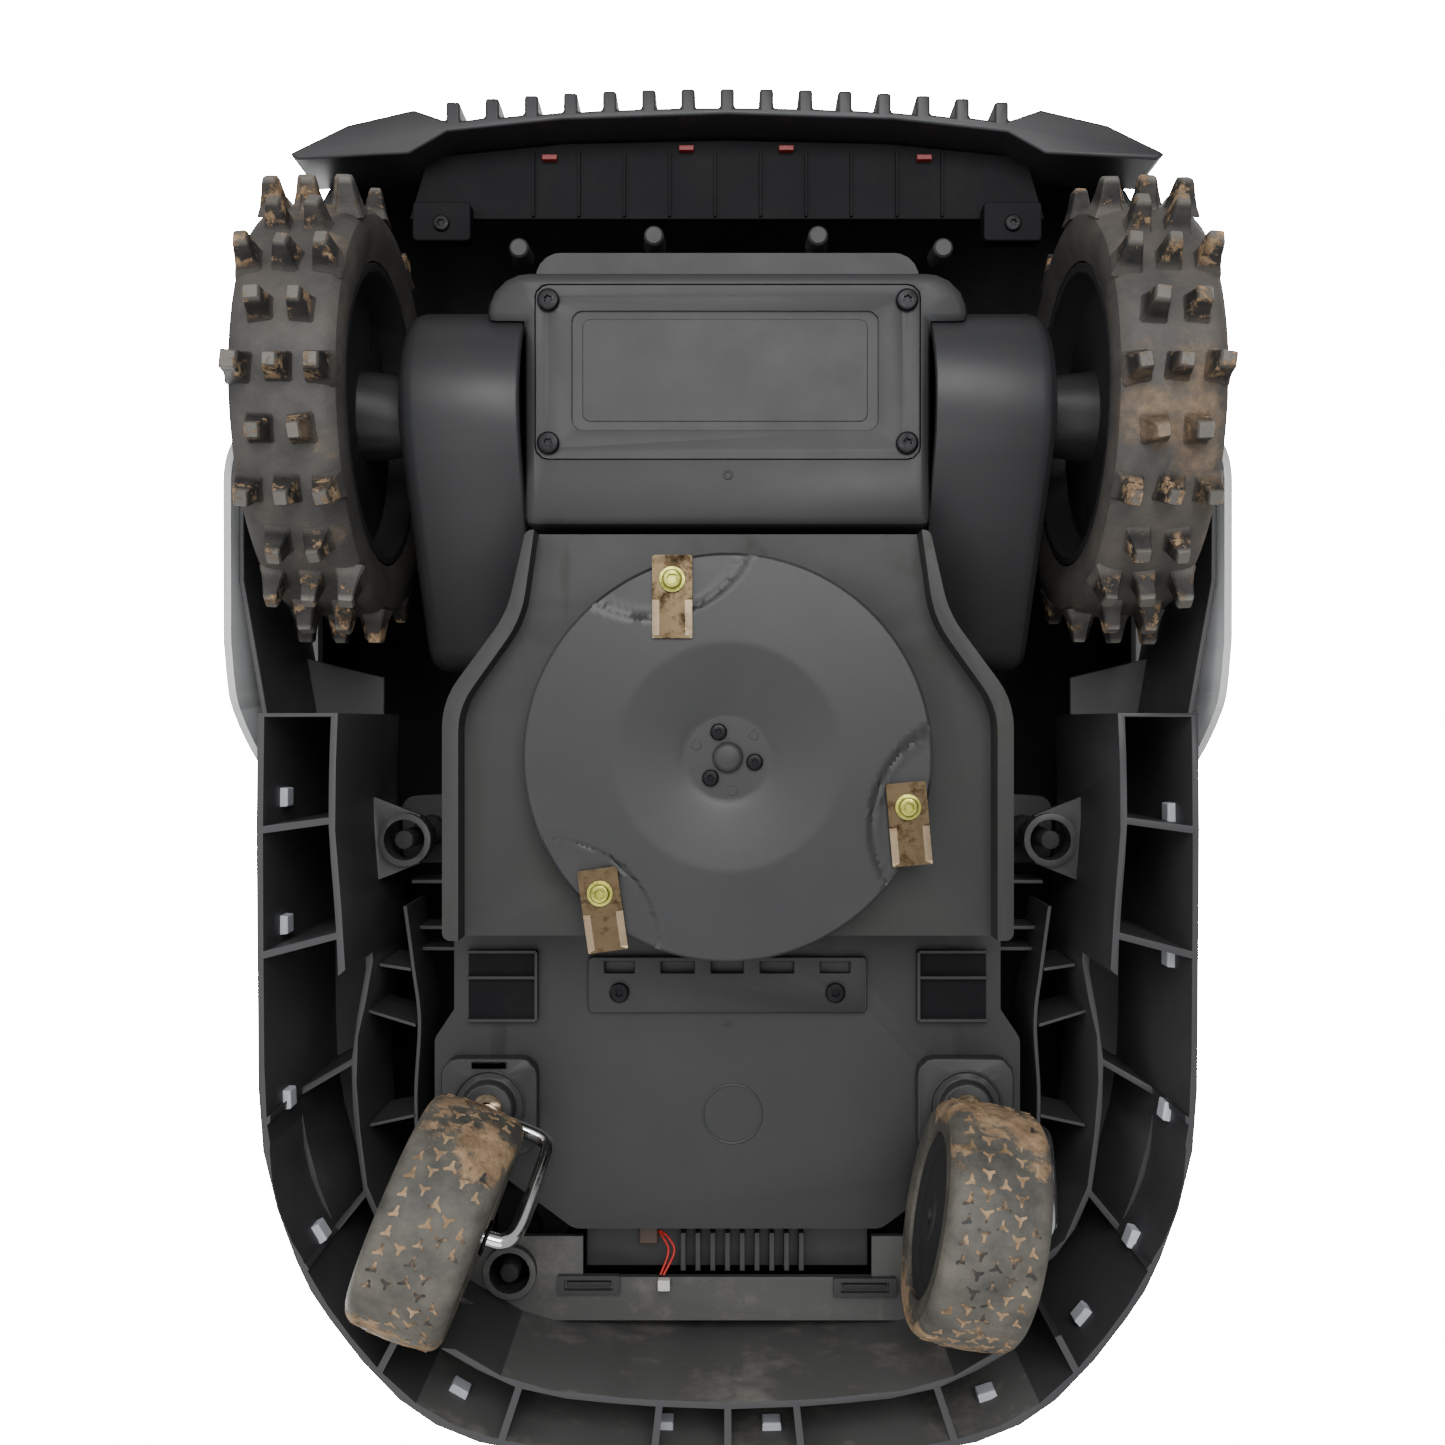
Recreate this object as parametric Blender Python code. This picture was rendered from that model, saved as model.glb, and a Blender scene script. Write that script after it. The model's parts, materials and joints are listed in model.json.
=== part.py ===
"""Robotic lawn mower: driven rear wheels, front casters, a blade disc under a skirt, a floating shell.

Metres, +Z up. The front points to -Y. The origin is on the ground, under the middle of the bounding box.
Left is the +X side, right is the -X side.
"""

import math

import bmesh
import bpy
from mathutils import Matrix, Vector

# Driving dimensions.
HALF_LENGTH = 0.2725
HALF_WIDTH = 0.1925
GAP = 0.0003
WALL = 0.003

CHASSIS_LOW = 0.100
CHASSIS_HIGH = 0.160
LID_HIGH = 0.1645

WHEEL_RADIUS = 0.092
TREAD_RADIUS = 0.080
WHEEL_Y = 0.129
WHEEL_INNER_X = 0.136
WHEEL_OUTER_X = 0.176
LUG_ROWS = 24

HOUSING_INNER_X = 0.0788
HOUSING_OUTER_X = 0.1255
HOUSING_RADIUS = 0.040
HOUSING_NOSE = (0.045, 0.122)
HOUSING_NOSE_RADIUS = 0.018

BAY_HALF_WIDTH = 0.093
BAY_FRONT = 0.081
BAY_REAR = 0.1795
BAY_LOW = 0.065
COVER_HALF_WIDTH = 0.074
COVER_FRONT = 0.107
COVER_REAR = 0.174
COVER_SCREWS = tuple((x, y) for x in (-0.069, 0.069) for y in (0.113, 0.168))
PACK_SPACE = (-0.064, 0.064, 0.119, 0.164)

DISC_Y = -0.0073
DISC_RADIUS = 0.0753
DISC_LOW = 0.040
PIVOT_RADIUS = 0.0683
BLADE_LENGTH = 0.0305
BLADE_WIDTH = 0.0147
BLADE_THICK = 0.001
# Each blade: where its pivot stands around the disc, and which way its free end points (degrees from +X).
BLADES = ((72.6, 270.0), (195.4, 265.0), (313.3, 262.0))

MOTOR_RADIUS = 0.028
HUB_SCREW_CIRCLE = 0.010

GUARD_HALF_WIDTH = 0.106
GUARD_FRONT = -0.0755
GUARD_REAR = 0.077
GUARD_LIP = 0.045
GUARD_ROOF = 0.058

CASTER_X = 0.0965
CASTER_Y = -0.150
CASTER_TRAIL = 0.030
CASTER_RADIUS = 0.0435
CASTER_WIDTH = 0.037
ROD_RADIUS = 0.003
# How far each caster is turned from straight ahead, towards the left.
CASTER_TURN = {"left": math.radians(21.0), "right": math.radians(11.0)}

RIM_LOW = 0.050
SHELF_LOW = 0.108
ARCH_RADIUS = 0.075
ARCH_HIGH = 0.0905
SHELL_SPLIT = 0.150
SHELL_TOP = 0.262
FIN_COUNT = 15
FIN_PITCH = 0.0165
FIN_WIDTH = 0.006
FIN_DEPTH = 0.008
FIN_ROW_BOW = 0.42
GRILLE_LOW = 0.115
FLOAT_TRAVEL = 0.0045
FLOAT_RING_LEVELS = (0.1040, 0.1150)

# The controls in the crown.
STOP_Y = -0.060
STOP_RADIUS = 0.0262
KNOB_Y = 0.030
KNOB_RADIUS = 0.027
DISPLAY_HALF = (0.025, 0.010)
DISPLAY_Y = 0.095
KEY_RADIUS = 0.0065
KEY_Y = 0.121
KEY_PLACES = (-0.014, 0.014)
CROWN_CUT = (0.25, 0.28)
FLOAT_MOUNTS = ((0.1335, -0.043), (-0.1335, -0.043), (0.090, -0.222), (-0.090, -0.222))

SIDES = (("left", 1.0), ("right", -1.0))


def clear_scene():
    for item in list(bpy.data.objects):
        bpy.data.objects.remove(item, do_unlink=True)


def material(name, colour, roughness, metallic=0.0):
    paint = bpy.data.materials.new(name)
    paint.use_nodes = True
    shader = paint.node_tree.nodes["Principled BSDF"]
    shader.inputs["Base Color"].default_value = (*colour, 1.0)
    shader.inputs["Roughness"].default_value = roughness
    shader.inputs["Metallic"].default_value = metallic
    return paint


def finish(name, bm, paint):
    """Turn a bmesh into a named object with smooth round faces and sharp edges."""
    bmesh.ops.recalc_face_normals(bm, faces=bm.faces)
    mesh = bpy.data.meshes.new(name)
    bm.to_mesh(mesh)
    bm.free()
    mesh.shade_smooth()
    mesh.set_sharp_from_angle(angle=math.radians(35.0))
    part = bpy.data.objects.new(name, mesh)
    bpy.context.scene.collection.objects.link(part)
    if paint is not None:
        mesh.materials.append(paint)
    return part


def shape_with(part, tool, operation):
    """Cut or join a part with a helper solid, which stays hidden."""
    tool.hide_render = True
    tool.display_type = "WIRE"
    change = part.modifiers.new(tool.name, "BOOLEAN")
    change.operation = operation
    change.object = tool
    change.solver = "EXACT"


def soften(part, width, segments=2, angle=50.0):
    edge = part.modifiers.new("soft_edges", "BEVEL")
    edge.width = width
    edge.segments = segments
    edge.limit_method = "ANGLE"
    edge.angle_limit = math.radians(angle)


def add_prism(bm, outline, low, high, axis="Z"):
    """Add a prism over a closed outline. Along X, the outline holds (y, z) points."""
    rings = []
    for level in (low, high):
        if axis == "Z":
            ring = [bm.verts.new((a, b, level)) for a, b in outline]
        else:
            ring = [bm.verts.new((level, a, b)) for a, b in outline]
        rings.append(ring)
    bm.faces.new(rings[0])
    bm.faces.new(rings[1])
    count = len(outline)
    for i in range(count):
        j = (i + 1) % count
        bm.faces.new((rings[0][i], rings[0][j], rings[1][j], rings[1][i]))


def prism(name, outline, low, high, paint=None, axis="Z"):
    bm = bmesh.new()
    add_prism(bm, outline, low, high, axis)
    return finish(name, bm, paint)


def add_turned(bm, profile, centre, axis="Z", segments=32, start=0.0):
    """Turn (radius, height) points about an axis through centre. A profile that leaves the axis is a ring."""
    frames = {"Z": Matrix.Identity(3), "X": Matrix(((0, 0, 1), (1, 0, 0), (0, 1, 0)))}
    frame = frames[axis] if isinstance(axis, str) else axis
    rings = []
    for radius, height in profile:
        count = segments if radius > 1e-6 else 1
        ring = []
        for i in range(count):
            turn = start + 2.0 * math.pi * i / segments
            local = Vector((radius * math.cos(turn), radius * math.sin(turn), height))
            ring.append(bm.verts.new(Vector(centre) + frame @ local))
        rings.append(ring)
    pairs = list(zip(rings, rings[1:]))
    if profile[0][0] > 1e-6:
        pairs.append((rings[-1], rings[0]))
    for lower, upper in pairs:
        for i in range(segments):
            j = (i + 1) % segments
            corners = []
            for ring, index in ((lower, i), (lower, j), (upper, j), (upper, i)):
                corner = ring[index % len(ring)]
                if corner not in corners:
                    corners.append(corner)
            bm.faces.new(corners)


def turned(name, profile, centre, paint=None, axis="Z", segments=32, start=0.0):
    bm = bmesh.new()
    add_turned(bm, profile, centre, axis, segments, start)
    return finish(name, bm, paint)


def rod_profile(radius, low, high):
    return ((0.0, low), (radius, low), (radius, high), (0.0, high))


def holes(name, centres, radius, low, high, segments=12):
    """One helper solid that drills the same upright hole at each centre."""
    bm = bmesh.new()
    for x, y in centres:
        add_turned(bm, rod_profile(radius, low, high), (x, y, 0.0), "Z", segments)
    return finish(name, bm, None)


def rounded(corners, steps=5):
    """Round the corners of an outline. Each corner is (x, y, radius)."""
    points = []
    count = len(corners)
    for i, (x, y, radius) in enumerate(corners):
        here = Vector((x, y))
        if radius <= 0.0:
            points.append((x, y))
            continue
        back = (Vector(corners[i - 1][:2]) - here).normalized()
        ahead = (Vector(corners[(i + 1) % count][:2]) - here).normalized()
        half = back.angle(ahead) / 2.0
        middle = here + (back + ahead).normalized() * radius / math.sin(half)
        first = here + back * radius / math.tan(half) - middle
        last = here + ahead * radius / math.tan(half) - middle
        for step in range(steps + 1):
            arm = first.lerp(last, step / steps).normalized() * radius
            points.append(tuple(middle + arm))
    return points


def both_sides(half):
    """Close an outline given as its left half, from the front centre line to the rear."""
    mirrored = [(-corner[0], *corner[1:]) for corner in reversed(half) if abs(corner[0]) > 1e-6]
    return list(half) + mirrored


def smooth_line(points, steps=4):
    """A Catmull-Rom curve through the points."""
    ends = [points[0]] + list(points) + [points[-1]]
    line = []
    for i in range(1, len(ends) - 2):
        p0, p1, p2, p3 = (Vector(ends[i + k]) for k in (-1, 0, 1, 2))
        for step in range(steps):
            t = step / steps
            bend = 2.0 * p1 + (p2 - p0) * t + (2.0 * p0 - 5.0 * p1 + 4.0 * p2 - p3) * t * t
            line.append(tuple((bend + (3.0 * p1 - p0 - 3.0 * p2 + p3) * t ** 3) / 2.0))
    line.append(tuple(points[-1]))
    return line


def rectangle(x0, x1, y0, y1, radius=0.0, steps=3):
    corners = [(x0, y0, radius), (x1, y0, radius), (x1, y1, radius), (x0, y1, radius)]
    return rounded(corners, steps)


def polar(centre, radius, degrees):
    turn = math.radians(degrees)
    return (centre[0] + radius * math.cos(turn), centre[1] + radius * math.sin(turn))


# ---- Chassis ----

def chassis_outline(inset=0.0):
    """The pan seen from above: wide at the casters and over the skirt, narrow between the rear wheels."""
    half = [
        (0.063 - inset, -0.202 + inset, 0.008),
        (0.098 - inset, -0.176 + inset, 0.006),
        (0.120 - inset, -0.174 + inset, 0.006),
        (0.120 - inset, -0.124, 0.006),
        (0.112 - inset, -0.112, 0.0),
        (0.112 - inset, 0.020 - inset, 0.0),
        (0.0785 - inset, 0.022 - inset, 0.0),
        (0.0785 - inset, 0.198 - inset, 0.010),
    ]
    return rounded(both_sides(half))


def build_chassis(dark):
    pan = prism("chassis_pan", chassis_outline(), CHASSIS_LOW, CHASSIS_HIGH, dark)
    inside = prism("pan_inside", chassis_outline(WALL), CHASSIS_LOW + WALL, CHASSIS_HIGH + WALL)
    shape_with(pan, inside, "DIFFERENCE")
    motor_hole = holes("pan_motor_hole", [(0.0, DISC_Y)], MOTOR_RADIUS + 0.006, 0.09, 0.11, 32)
    shape_with(pan, motor_hole, "DIFFERENCE")
    stems = [(side * CASTER_X, CASTER_Y) for _, side in SIDES]
    shape_with(pan, holes("pan_stem_holes", stems, 0.0045, 0.09, 0.11, 16), "DIFFERENCE")

    half = [
        (0.063, -0.202, 0.008),
        (0.076, -0.234, 0.006),
        (0.104, -0.234, 0.006),
        (0.104, -0.205, 0.004),
        (0.120, -0.174, 0.004),
        (0.120, -0.058, 0.003),
        (0.147, -0.058, 0.006),
        (0.147, -0.028, 0.006),
        (0.112, -0.026, 0.003),
        (0.112, 0.020, 0.003),
        (0.0785, 0.022, 0.0),
        (0.0785, 0.198, 0.010),
    ]
    lid = prism("chassis_lid", rounded(both_sides(half)), CHASSIS_HIGH + GAP, LID_HIGH, dark)
    knob_shaft = holes("lid_shaft_hole", [(0.0, KNOB_Y)], 0.0043, 0.15, 0.17, 16)
    shape_with(lid, knob_shaft, "DIFFERENCE")


def build_float_posts(rubber):
    """Soft posts that carry the shell, hanging from the ears of the lid."""
    profile = ((0.0, 0.104), (0.0040, 0.104), (0.0040, 0.148), (0.0070, 0.152), (0.0070, 0.160), (0.0, 0.160))
    for number, (x, y) in enumerate(FLOAT_MOUNTS, 1):
        turned(f"float_post_{number}", profile, (x, y, 0.0), rubber, "Z", 12)


def housing_outline(inset=0.0):
    """The side view of a drive housing: a round end on the axle and a smaller nose, joined by tangents."""
    big = Vector((WHEEL_Y, WHEEL_RADIUS))
    small = Vector(HOUSING_NOSE)
    apart = small - big
    course = math.atan2(apart.y, apart.x)
    lean = math.acos((HOUSING_RADIUS - HOUSING_NOSE_RADIUS) / apart.length)
    outline = []
    sweep = 2.0 * math.pi - 2.0 * lean
    arcs = (
        (big, HOUSING_RADIUS, course + lean, sweep, 14),
        (small, HOUSING_NOSE_RADIUS, course - lean, 2.0 * lean, 8),
    )
    for centre, radius, first, swing, steps in arcs:
        for step in range(steps + 1):
            turn = math.degrees(first + swing * step / steps)
            outline.append(polar(centre, radius - inset, turn))
    return outline


def span(side, inner, outer):
    return (inner, outer) if side > 0 else (-outer, -inner)


def build_drive(label, side, dark, metal, rubber, rim_paint):
    bm = bmesh.new()
    add_prism(bm, housing_outline(), *span(side, HOUSING_INNER_X, HOUSING_OUTER_X), "X")
    bmesh.ops.recalc_face_normals(bm, faces=bm.faces)
    outside = max(bm.faces, key=lambda face: side * face.calc_center_median().x)
    bmesh.ops.bevel(bm, geom=list(outside.edges), offset=0.007, segments=3, profile=0.5, affect="EDGES")
    housing = finish(f"drive_housing_{label}", bm, dark)
    hollow = prism(f"housing_hollow_{label}", housing_outline(0.0045), *span(side, 0.070, 0.1205), None, "X")
    shape_with(housing, hollow, "DIFFERENCE")
    axle_centre = (0.0, WHEEL_Y, WHEEL_RADIUS)
    bore_line = rod_profile(0.0088, *span(side, 0.11, 0.14))
    bore = turned(f"housing_bore_{label}", bore_line, axle_centre, None, "X", 20)
    shape_with(housing, bore, "DIFFERENCE")

    motor = rod_profile(0.0135, *span(side, 0.0800, 0.1150))
    turned(f"drive_motor_{label}", motor, (0.0, 0.0500, 0.1215), metal, "X", 20)

    axle = ((0.0, 0.0840), (0.0300, 0.0840), (0.0300, 0.0900), (0.0080, 0.0900), (0.0080, 0.1530),
            (0.0, 0.1530))
    turned(f"drive_axle_{label}", [(r, side * x) for r, x in axle], axle_centre, metal, "X", 20)

    rim = (
        (0.0083, 0.1290), (0.0160, 0.1290), (0.0180, 0.1460), (0.0540, 0.1500), (0.0560, 0.1385),
        (0.0597, 0.1385), (0.0597, 0.1735), (0.0560, 0.1735), (0.0540, 0.1550), (0.0083, 0.1560),
    )
    turned(f"drive_rim_{label}", [(r, side * x) for r, x in rim], axle_centre, rim_paint, "X", 28)
    build_drive_tyre(label, side, axle_centre, rubber)


def build_drive_tyre(label, side, centre, rubber):
    """A tyre whose tread carries blunt pyramids, three and two abreast in turn."""
    columns = 5
    left, right = 0.1395, 0.1725
    edges = [left + (right - left) * i / columns for i in range(columns + 1)]
    profile = [(0.0600, 0.1385), (0.0660, WHEEL_INNER_X), (0.0765, 0.1368)]
    profile += [(TREAD_RADIUS, x) for x in edges]
    profile += [(0.0765, 0.1752), (0.0660, WHEEL_OUTER_X), (0.0600, 0.1735)]
    steps = 2 * LUG_ROWS
    bm = bmesh.new()
    start = -math.pi / 2.0 - math.pi / steps
    add_turned(bm, [(r, side * x) for r, x in profile], centre, "X", steps, start)
    bmesh.ops.recalc_face_normals(bm, faces=bm.faces)
    bm.faces.ensure_lookup_table()
    first = 3
    lugs = []
    for row in range(LUG_ROWS):
        wanted = (0, 2, 4) if row % 2 == 0 else (1, 3)
        for column in wanted:
            lugs.append(bm.faces[(first + column) * steps + 2 * row])
    raised = bmesh.ops.extrude_discrete_faces(bm, faces=lugs)["faces"]
    for face in raised:
        middle = face.calc_center_median()
        away = Vector((0.0, middle.y - centre[1], middle.z - centre[2]))
        lift = away.normalized() * (WHEEL_RADIUS - away.length)
        for vert in face.verts:
            vert.co = middle + (vert.co - middle) * 0.55 + lift
    finish(f"drive_tyre_{label}", bm, rubber)


# ---- Battery bay ----

def clear_housings(part):
    """Cut a part back from both drive housings."""
    for label, side in SIDES:
        beside = prism(f"{part.name}_clearance_{label}", housing_outline(-0.001),
                       *span(side, HOUSING_INNER_X - GAP, 0.14), None, "X")
        shape_with(part, beside, "DIFFERENCE")


def build_battery_bay(dark, metal, pack_paint):
    half = [
        (HOUSING_INNER_X - GAP, BAY_FRONT, 0.0),
        (HOUSING_INNER_X - GAP, WHEEL_Y + 0.030, 0.0),
        (BAY_HALF_WIDTH, WHEEL_Y + 0.030, 0.0),
        (BAY_HALF_WIDTH, BAY_REAR, 0.016),
    ]
    bay = prism("battery_bay", rounded(both_sides(half)), BAY_LOW, CHASSIS_LOW - GAP, dark)
    soften(bay, 0.004, 2, 60.0)
    clear_housings(bay)
    seat = rectangle(-COVER_HALF_WIDTH - 0.0004, COVER_HALF_WIDTH + 0.0004, COVER_FRONT - 0.0004,
                     COVER_REAR + 0.0004, 0.005)
    shape_with(bay, prism("cover_seat", seat, BAY_LOW - 0.01, BAY_LOW + 0.0033), "DIFFERENCE")
    shape_with(bay, prism("pack_space", rectangle(*PACK_SPACE), BAY_LOW, 0.097), "DIFFERENCE")
    shape_with(bay, holes("bay_screw_holes", COVER_SCREWS, 0.0018, BAY_LOW - 0.01, 0.0765), "DIFFERENCE")

    cover_line = rectangle(-COVER_HALF_WIDTH, COVER_HALF_WIDTH, COVER_FRONT, COVER_REAR, 0.005)
    cover = prism("battery_cover", cover_line, BAY_LOW, BAY_LOW + 0.003, dark)
    drill = holes("cover_screw_holes", COVER_SCREWS, 0.0018, BAY_LOW - 0.01, BAY_LOW + 0.01)
    shape_with(cover, drill, "DIFFERENCE")
    panel_line = rectangle(-0.058, 0.060, 0.118, 0.164, 0.004)
    shape_with(cover, prism("cover_panel", panel_line, BAY_LOW - 0.002, BAY_LOW + 0.001), "DIFFERENCE")
    head = BAY_LOW - GAP
    screw = ((0.0, head - 0.0018), (0.0036, head - 0.0018), (0.0043, head - 0.0008), (0.0043, head),
             (0.0014, head), (0.0014, 0.0750), (0.0, 0.0750))
    for number, (x, y) in enumerate(COVER_SCREWS, 1):
        turned(f"battery_cover_screw_{number}", screw, (x, y, 0.0), metal, "Z", 12)
    prism("battery_pack", rectangle(-0.0635, 0.0635, 0.1195, 0.1635), BAY_LOW + 0.0036, 0.0965, pack_paint)


# ---- Cutting unit ----

def build_deck_guard(dark):
    """A skirt round the blade disc: a flat roof over the disc, with a rounded lip along both sides."""
    half = [
        (GUARD_HALF_WIDTH, GUARD_FRONT, 0.003),
        (GUARD_HALF_WIDTH, 0.0135, 0.030),
        (0.0820, 0.0460, 0.040),
        (0.0750, GUARD_REAR, 0.003),
    ]
    guard = prism("deck_guard", rounded(both_sides(half)), GUARD_LIP, CHASSIS_LOW - GAP, dark)
    inner = [
        (GUARD_HALF_WIDTH - 0.006, GUARD_FRONT - 0.02, 0.0),
        (GUARD_HALF_WIDTH - 0.006, 0.0110, 0.028),
        (0.0765, 0.0440, 0.040),
        (0.0690, GUARD_REAR + 0.02, 0.0),
    ]
    below = prism("guard_below", rounded(both_sides(inner)), GUARD_LIP - 0.01, GUARD_ROOF)
    shape_with(guard, below, "DIFFERENCE")
    above = [
        (GUARD_HALF_WIDTH - WALL, GUARD_FRONT + WALL, 0.0),
        (GUARD_HALF_WIDTH - WALL, 0.0120, 0.028),
        (0.0795, 0.0445, 0.040),
        (0.0720, GUARD_REAR - WALL, 0.0),
    ]
    shape_with(guard, prism("guard_above", rounded(both_sides(above)), GUARD_ROOF + WALL, 0.12), "DIFFERENCE")
    clear_housings(guard)
    motor_hole = holes("guard_motor_hole", [(0.0, DISC_Y)], MOTOR_RADIUS + 0.003, 0.03, 0.12, 32)
    shape_with(guard, motor_hole, "DIFFERENCE")


def build_cutting_motor(metal):
    """The motor that slides up and down with the cutting height, and the shaft that carries the disc."""
    profile = (
        (0.0, 0.0475), (0.0030, 0.0475), (0.0030, 0.0560), (MOTOR_RADIUS, 0.0600), (MOTOR_RADIUS, 0.1180),
        (0.0120, 0.1220), (0.0120, 0.1300), (0.0, 0.1300),
    )
    turned("cutting_motor", profile, (0.0, DISC_Y, 0.0), metal, "Z", 28)


def build_disc(dark, metal):
    """A dished disc: flat in the middle, rising to the rim plane through a shallow cone."""
    low = DISC_LOW
    profile = (
        (0.0, low + 0.0005), (0.0045, low + 0.0005), (0.0055, low + 0.0015), (0.0055, low + 0.0030),
        (0.0160, low + 0.0030), (0.0420, low), (DISC_RADIUS, low), (DISC_RADIUS, low + 0.0030),
        (0.0430, low + 0.0030), (0.0170, low + 0.0060), (0.0040, low + 0.0060), (0.0, low + 0.0060),
    )
    disc = turned("blade_disc", profile, (0.0, DISC_Y, 0.0), dark, "Z", 40)
    spots = [polar((0.0, DISC_Y), PIVOT_RADIUS, turn) for turn, _ in BLADES]
    shape_with(disc, holes("disc_bolt_holes", spots, 0.0023, 0.03, 0.06), "DIFFERENCE")
    screws = [polar((0.0, DISC_Y), HUB_SCREW_CIRCLE, turn) for turn in (70.0, 190.0, 310.0)]
    shape_with(disc, holes("disc_screw_holes", screws, 0.0017, 0.03, 0.0445), "DIFFERENCE")
    face = low + 0.0030 - GAP
    screw = ((0.0, face - 0.0020), (0.0030, face - 0.0020), (0.0030, face), (0.0013, face), (0.0013, 0.0442),
             (0.0, 0.0442))
    for number, (x, y) in enumerate(screws, 1):
        turned(f"hub_screw_{number}", screw, (x, y, 0.0), metal, "Z", 12)


def blade_outline(pivot, heading):
    """A blade runs 9 mm behind its pivot and the rest ahead of it, with clipped corners."""
    ahead = Vector((math.cos(math.radians(heading)), math.sin(math.radians(heading))))
    across = Vector((-ahead.y, ahead.x))
    back, front = -0.009, BLADE_LENGTH - 0.009
    half = BLADE_WIDTH / 2.0
    clip = 0.0010
    local = (
        (back, half - clip), (back, clip - half), (back + clip, -half), (front - clip, -half),
        (front, clip - half), (front, half - clip), (front - clip, half), (back + clip, half),
    )
    return [tuple(Vector(pivot) + ahead * along + across * side) for along, side in local]


def build_blades(bronze, zinc):
    high = DISC_LOW - 0.0005
    low = high - BLADE_THICK
    for number, (turn, heading) in enumerate(BLADES, 1):
        pivot = polar((0.0, DISC_Y), PIVOT_RADIUS, turn)
        blade = prism(f"blade_{number}", blade_outline(pivot, heading), low, high, bronze)
        shape_with(blade, holes(f"blade_bore_{number}", [pivot], 0.0024, 0.03, 0.05), "DIFFERENCE")
        head = low - GAP
        bolt = ((0.0, head - 0.0030), (0.0040, head - 0.0030), (0.0047, head - 0.0020), (0.0047, head),
                (0.0019, head), (0.0019, DISC_LOW + 0.0045), (0.0, DISC_LOW + 0.0045))
        turned(f"blade_bolt_{number}", bolt, (*pivot, 0.0), zinc, "Z", 16)


# ---- Casters and front details ----

def build_caster(label, side, dark, chrome, rubber, rim_paint):
    """A bent rod swivels in the mount and holds the wheel from its right-hand face."""
    stem = Vector((side * CASTER_X, CASTER_Y, 0.0))
    plate_line = rectangle(stem.x - 0.0195, stem.x + 0.0195, CASTER_Y - 0.0195, CASTER_Y + 0.0195, 0.007)
    mount = prism(f"caster_mount_{label}", plate_line, 0.0925, CHASSIS_LOW - GAP, dark)
    boss_line = ((0.0, 0.0885), (0.0100, 0.0885), (0.0115, 0.0940), (0.0, 0.0940))
    shape_with(mount, turned(f"mount_boss_{label}", boss_line, stem, None, "Z", 24), "UNION")
    bore = holes(f"mount_bore_{label}", [(stem.x, CASTER_Y)], ROD_RADIUS + 0.0006, 0.08, 0.11, 16)
    shape_with(mount, bore, "DIFFERENCE")

    turn = CASTER_TURN[label]
    ahead = Vector((math.sin(turn), -math.cos(turn), 0.0))
    beside = Vector((-math.cos(turn), -math.sin(turn), 0.0))
    # The rod's route: how far ahead of the stem, how far to its side, and how high.
    route = (
        (0.0, 0.0, 0.1240), (0.0, 0.0, 0.0855), (0.0, 0.0030, 0.0825), (0.0, 0.0090, 0.0812),
        (0.0, 0.0220, 0.0805), (0.0010, 0.0270, 0.0785), (0.0030, 0.0290, 0.0745), (0.0240, 0.0295, 0.0500),
        (0.0275, 0.0285, 0.0462), (0.0295, 0.0250, 0.0440), (CASTER_TRAIL, 0.0200, CASTER_RADIUS),
        (CASTER_TRAIL, -0.0150, CASTER_RADIUS),
    )
    line = bpy.data.curves.new(f"caster_fork_{label}", "CURVE")
    line.dimensions = "3D"
    line.bevel_depth = ROD_RADIUS
    line.bevel_resolution = 3
    line.use_fill_caps = True
    line.materials.append(chrome)
    spline = line.splines.new("POLY")
    spline.points.add(len(route) - 1)
    for point, (forward, sideways, height) in zip(spline.points, route):
        point.co = (*(stem + ahead * forward + beside * sideways + Vector((0.0, 0.0, height))), 1.0)
    fork = bpy.data.objects.new(f"caster_fork_{label}", line)
    bpy.context.scene.collection.objects.link(fork)

    centre = stem + ahead * CASTER_TRAIL + Vector((0.0, 0.0, CASTER_RADIUS))
    across = Matrix((ahead, Vector((0.0, 0.0, 1.0)), -beside)).transposed()
    half = CASTER_WIDTH / 2.0
    rim = ((0.0034, -half + 0.002), (0.0280, -half + 0.002), (0.0297, -half + 0.004), (0.0297, half - 0.004),
           (0.0280, half - 0.002), (0.0034, half - 0.002))
    turned(f"caster_rim_{label}", rim, centre, rim_paint, across, 28)
    tyre = ((0.0300, -half + 0.001), (0.0345, -half), (0.0395, 0.0015 - half), (0.0420, 0.0050 - half),
            (CASTER_RADIUS, 0.0100 - half), (CASTER_RADIUS, half - 0.0100), (0.0420, half - 0.0050),
            (0.0395, half - 0.0015), (0.0345, half), (0.0300, half - 0.001))
    turned(f"caster_tyre_{label}", tyre, centre, rubber, across, 32, -math.pi / 2.0)


def build_access_plate(dark, metal):
    plate = prism("access_plate", rectangle(-0.057, 0.057, -0.113, -0.0900, 0.002, 2), 0.0965,
                  CHASSIS_LOW - GAP, dark)
    bm = bmesh.new()
    for x0, x1 in ((0.038, 0.050), (0.0135, 0.027), (-0.0065, 0.0065), (-0.027, -0.0135), (-0.050, -0.038)):
        add_prism(bm, rectangle(x0, x1, -0.0965, -0.0920), 0.090, 0.105)
    shape_with(plate, finish("plate_slots", bm, None), "DIFFERENCE")
    face = 0.0965 - GAP
    screw = ((0.0, face - 0.0018), (0.0040, face - 0.0018), (0.0040, face), (0.0, face))
    for number, x in enumerate((-0.044, 0.044), 1):
        turned(f"access_plate_screw_{number}", screw, (x, -0.1045, 0.0), metal, "Z", 12)


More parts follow.
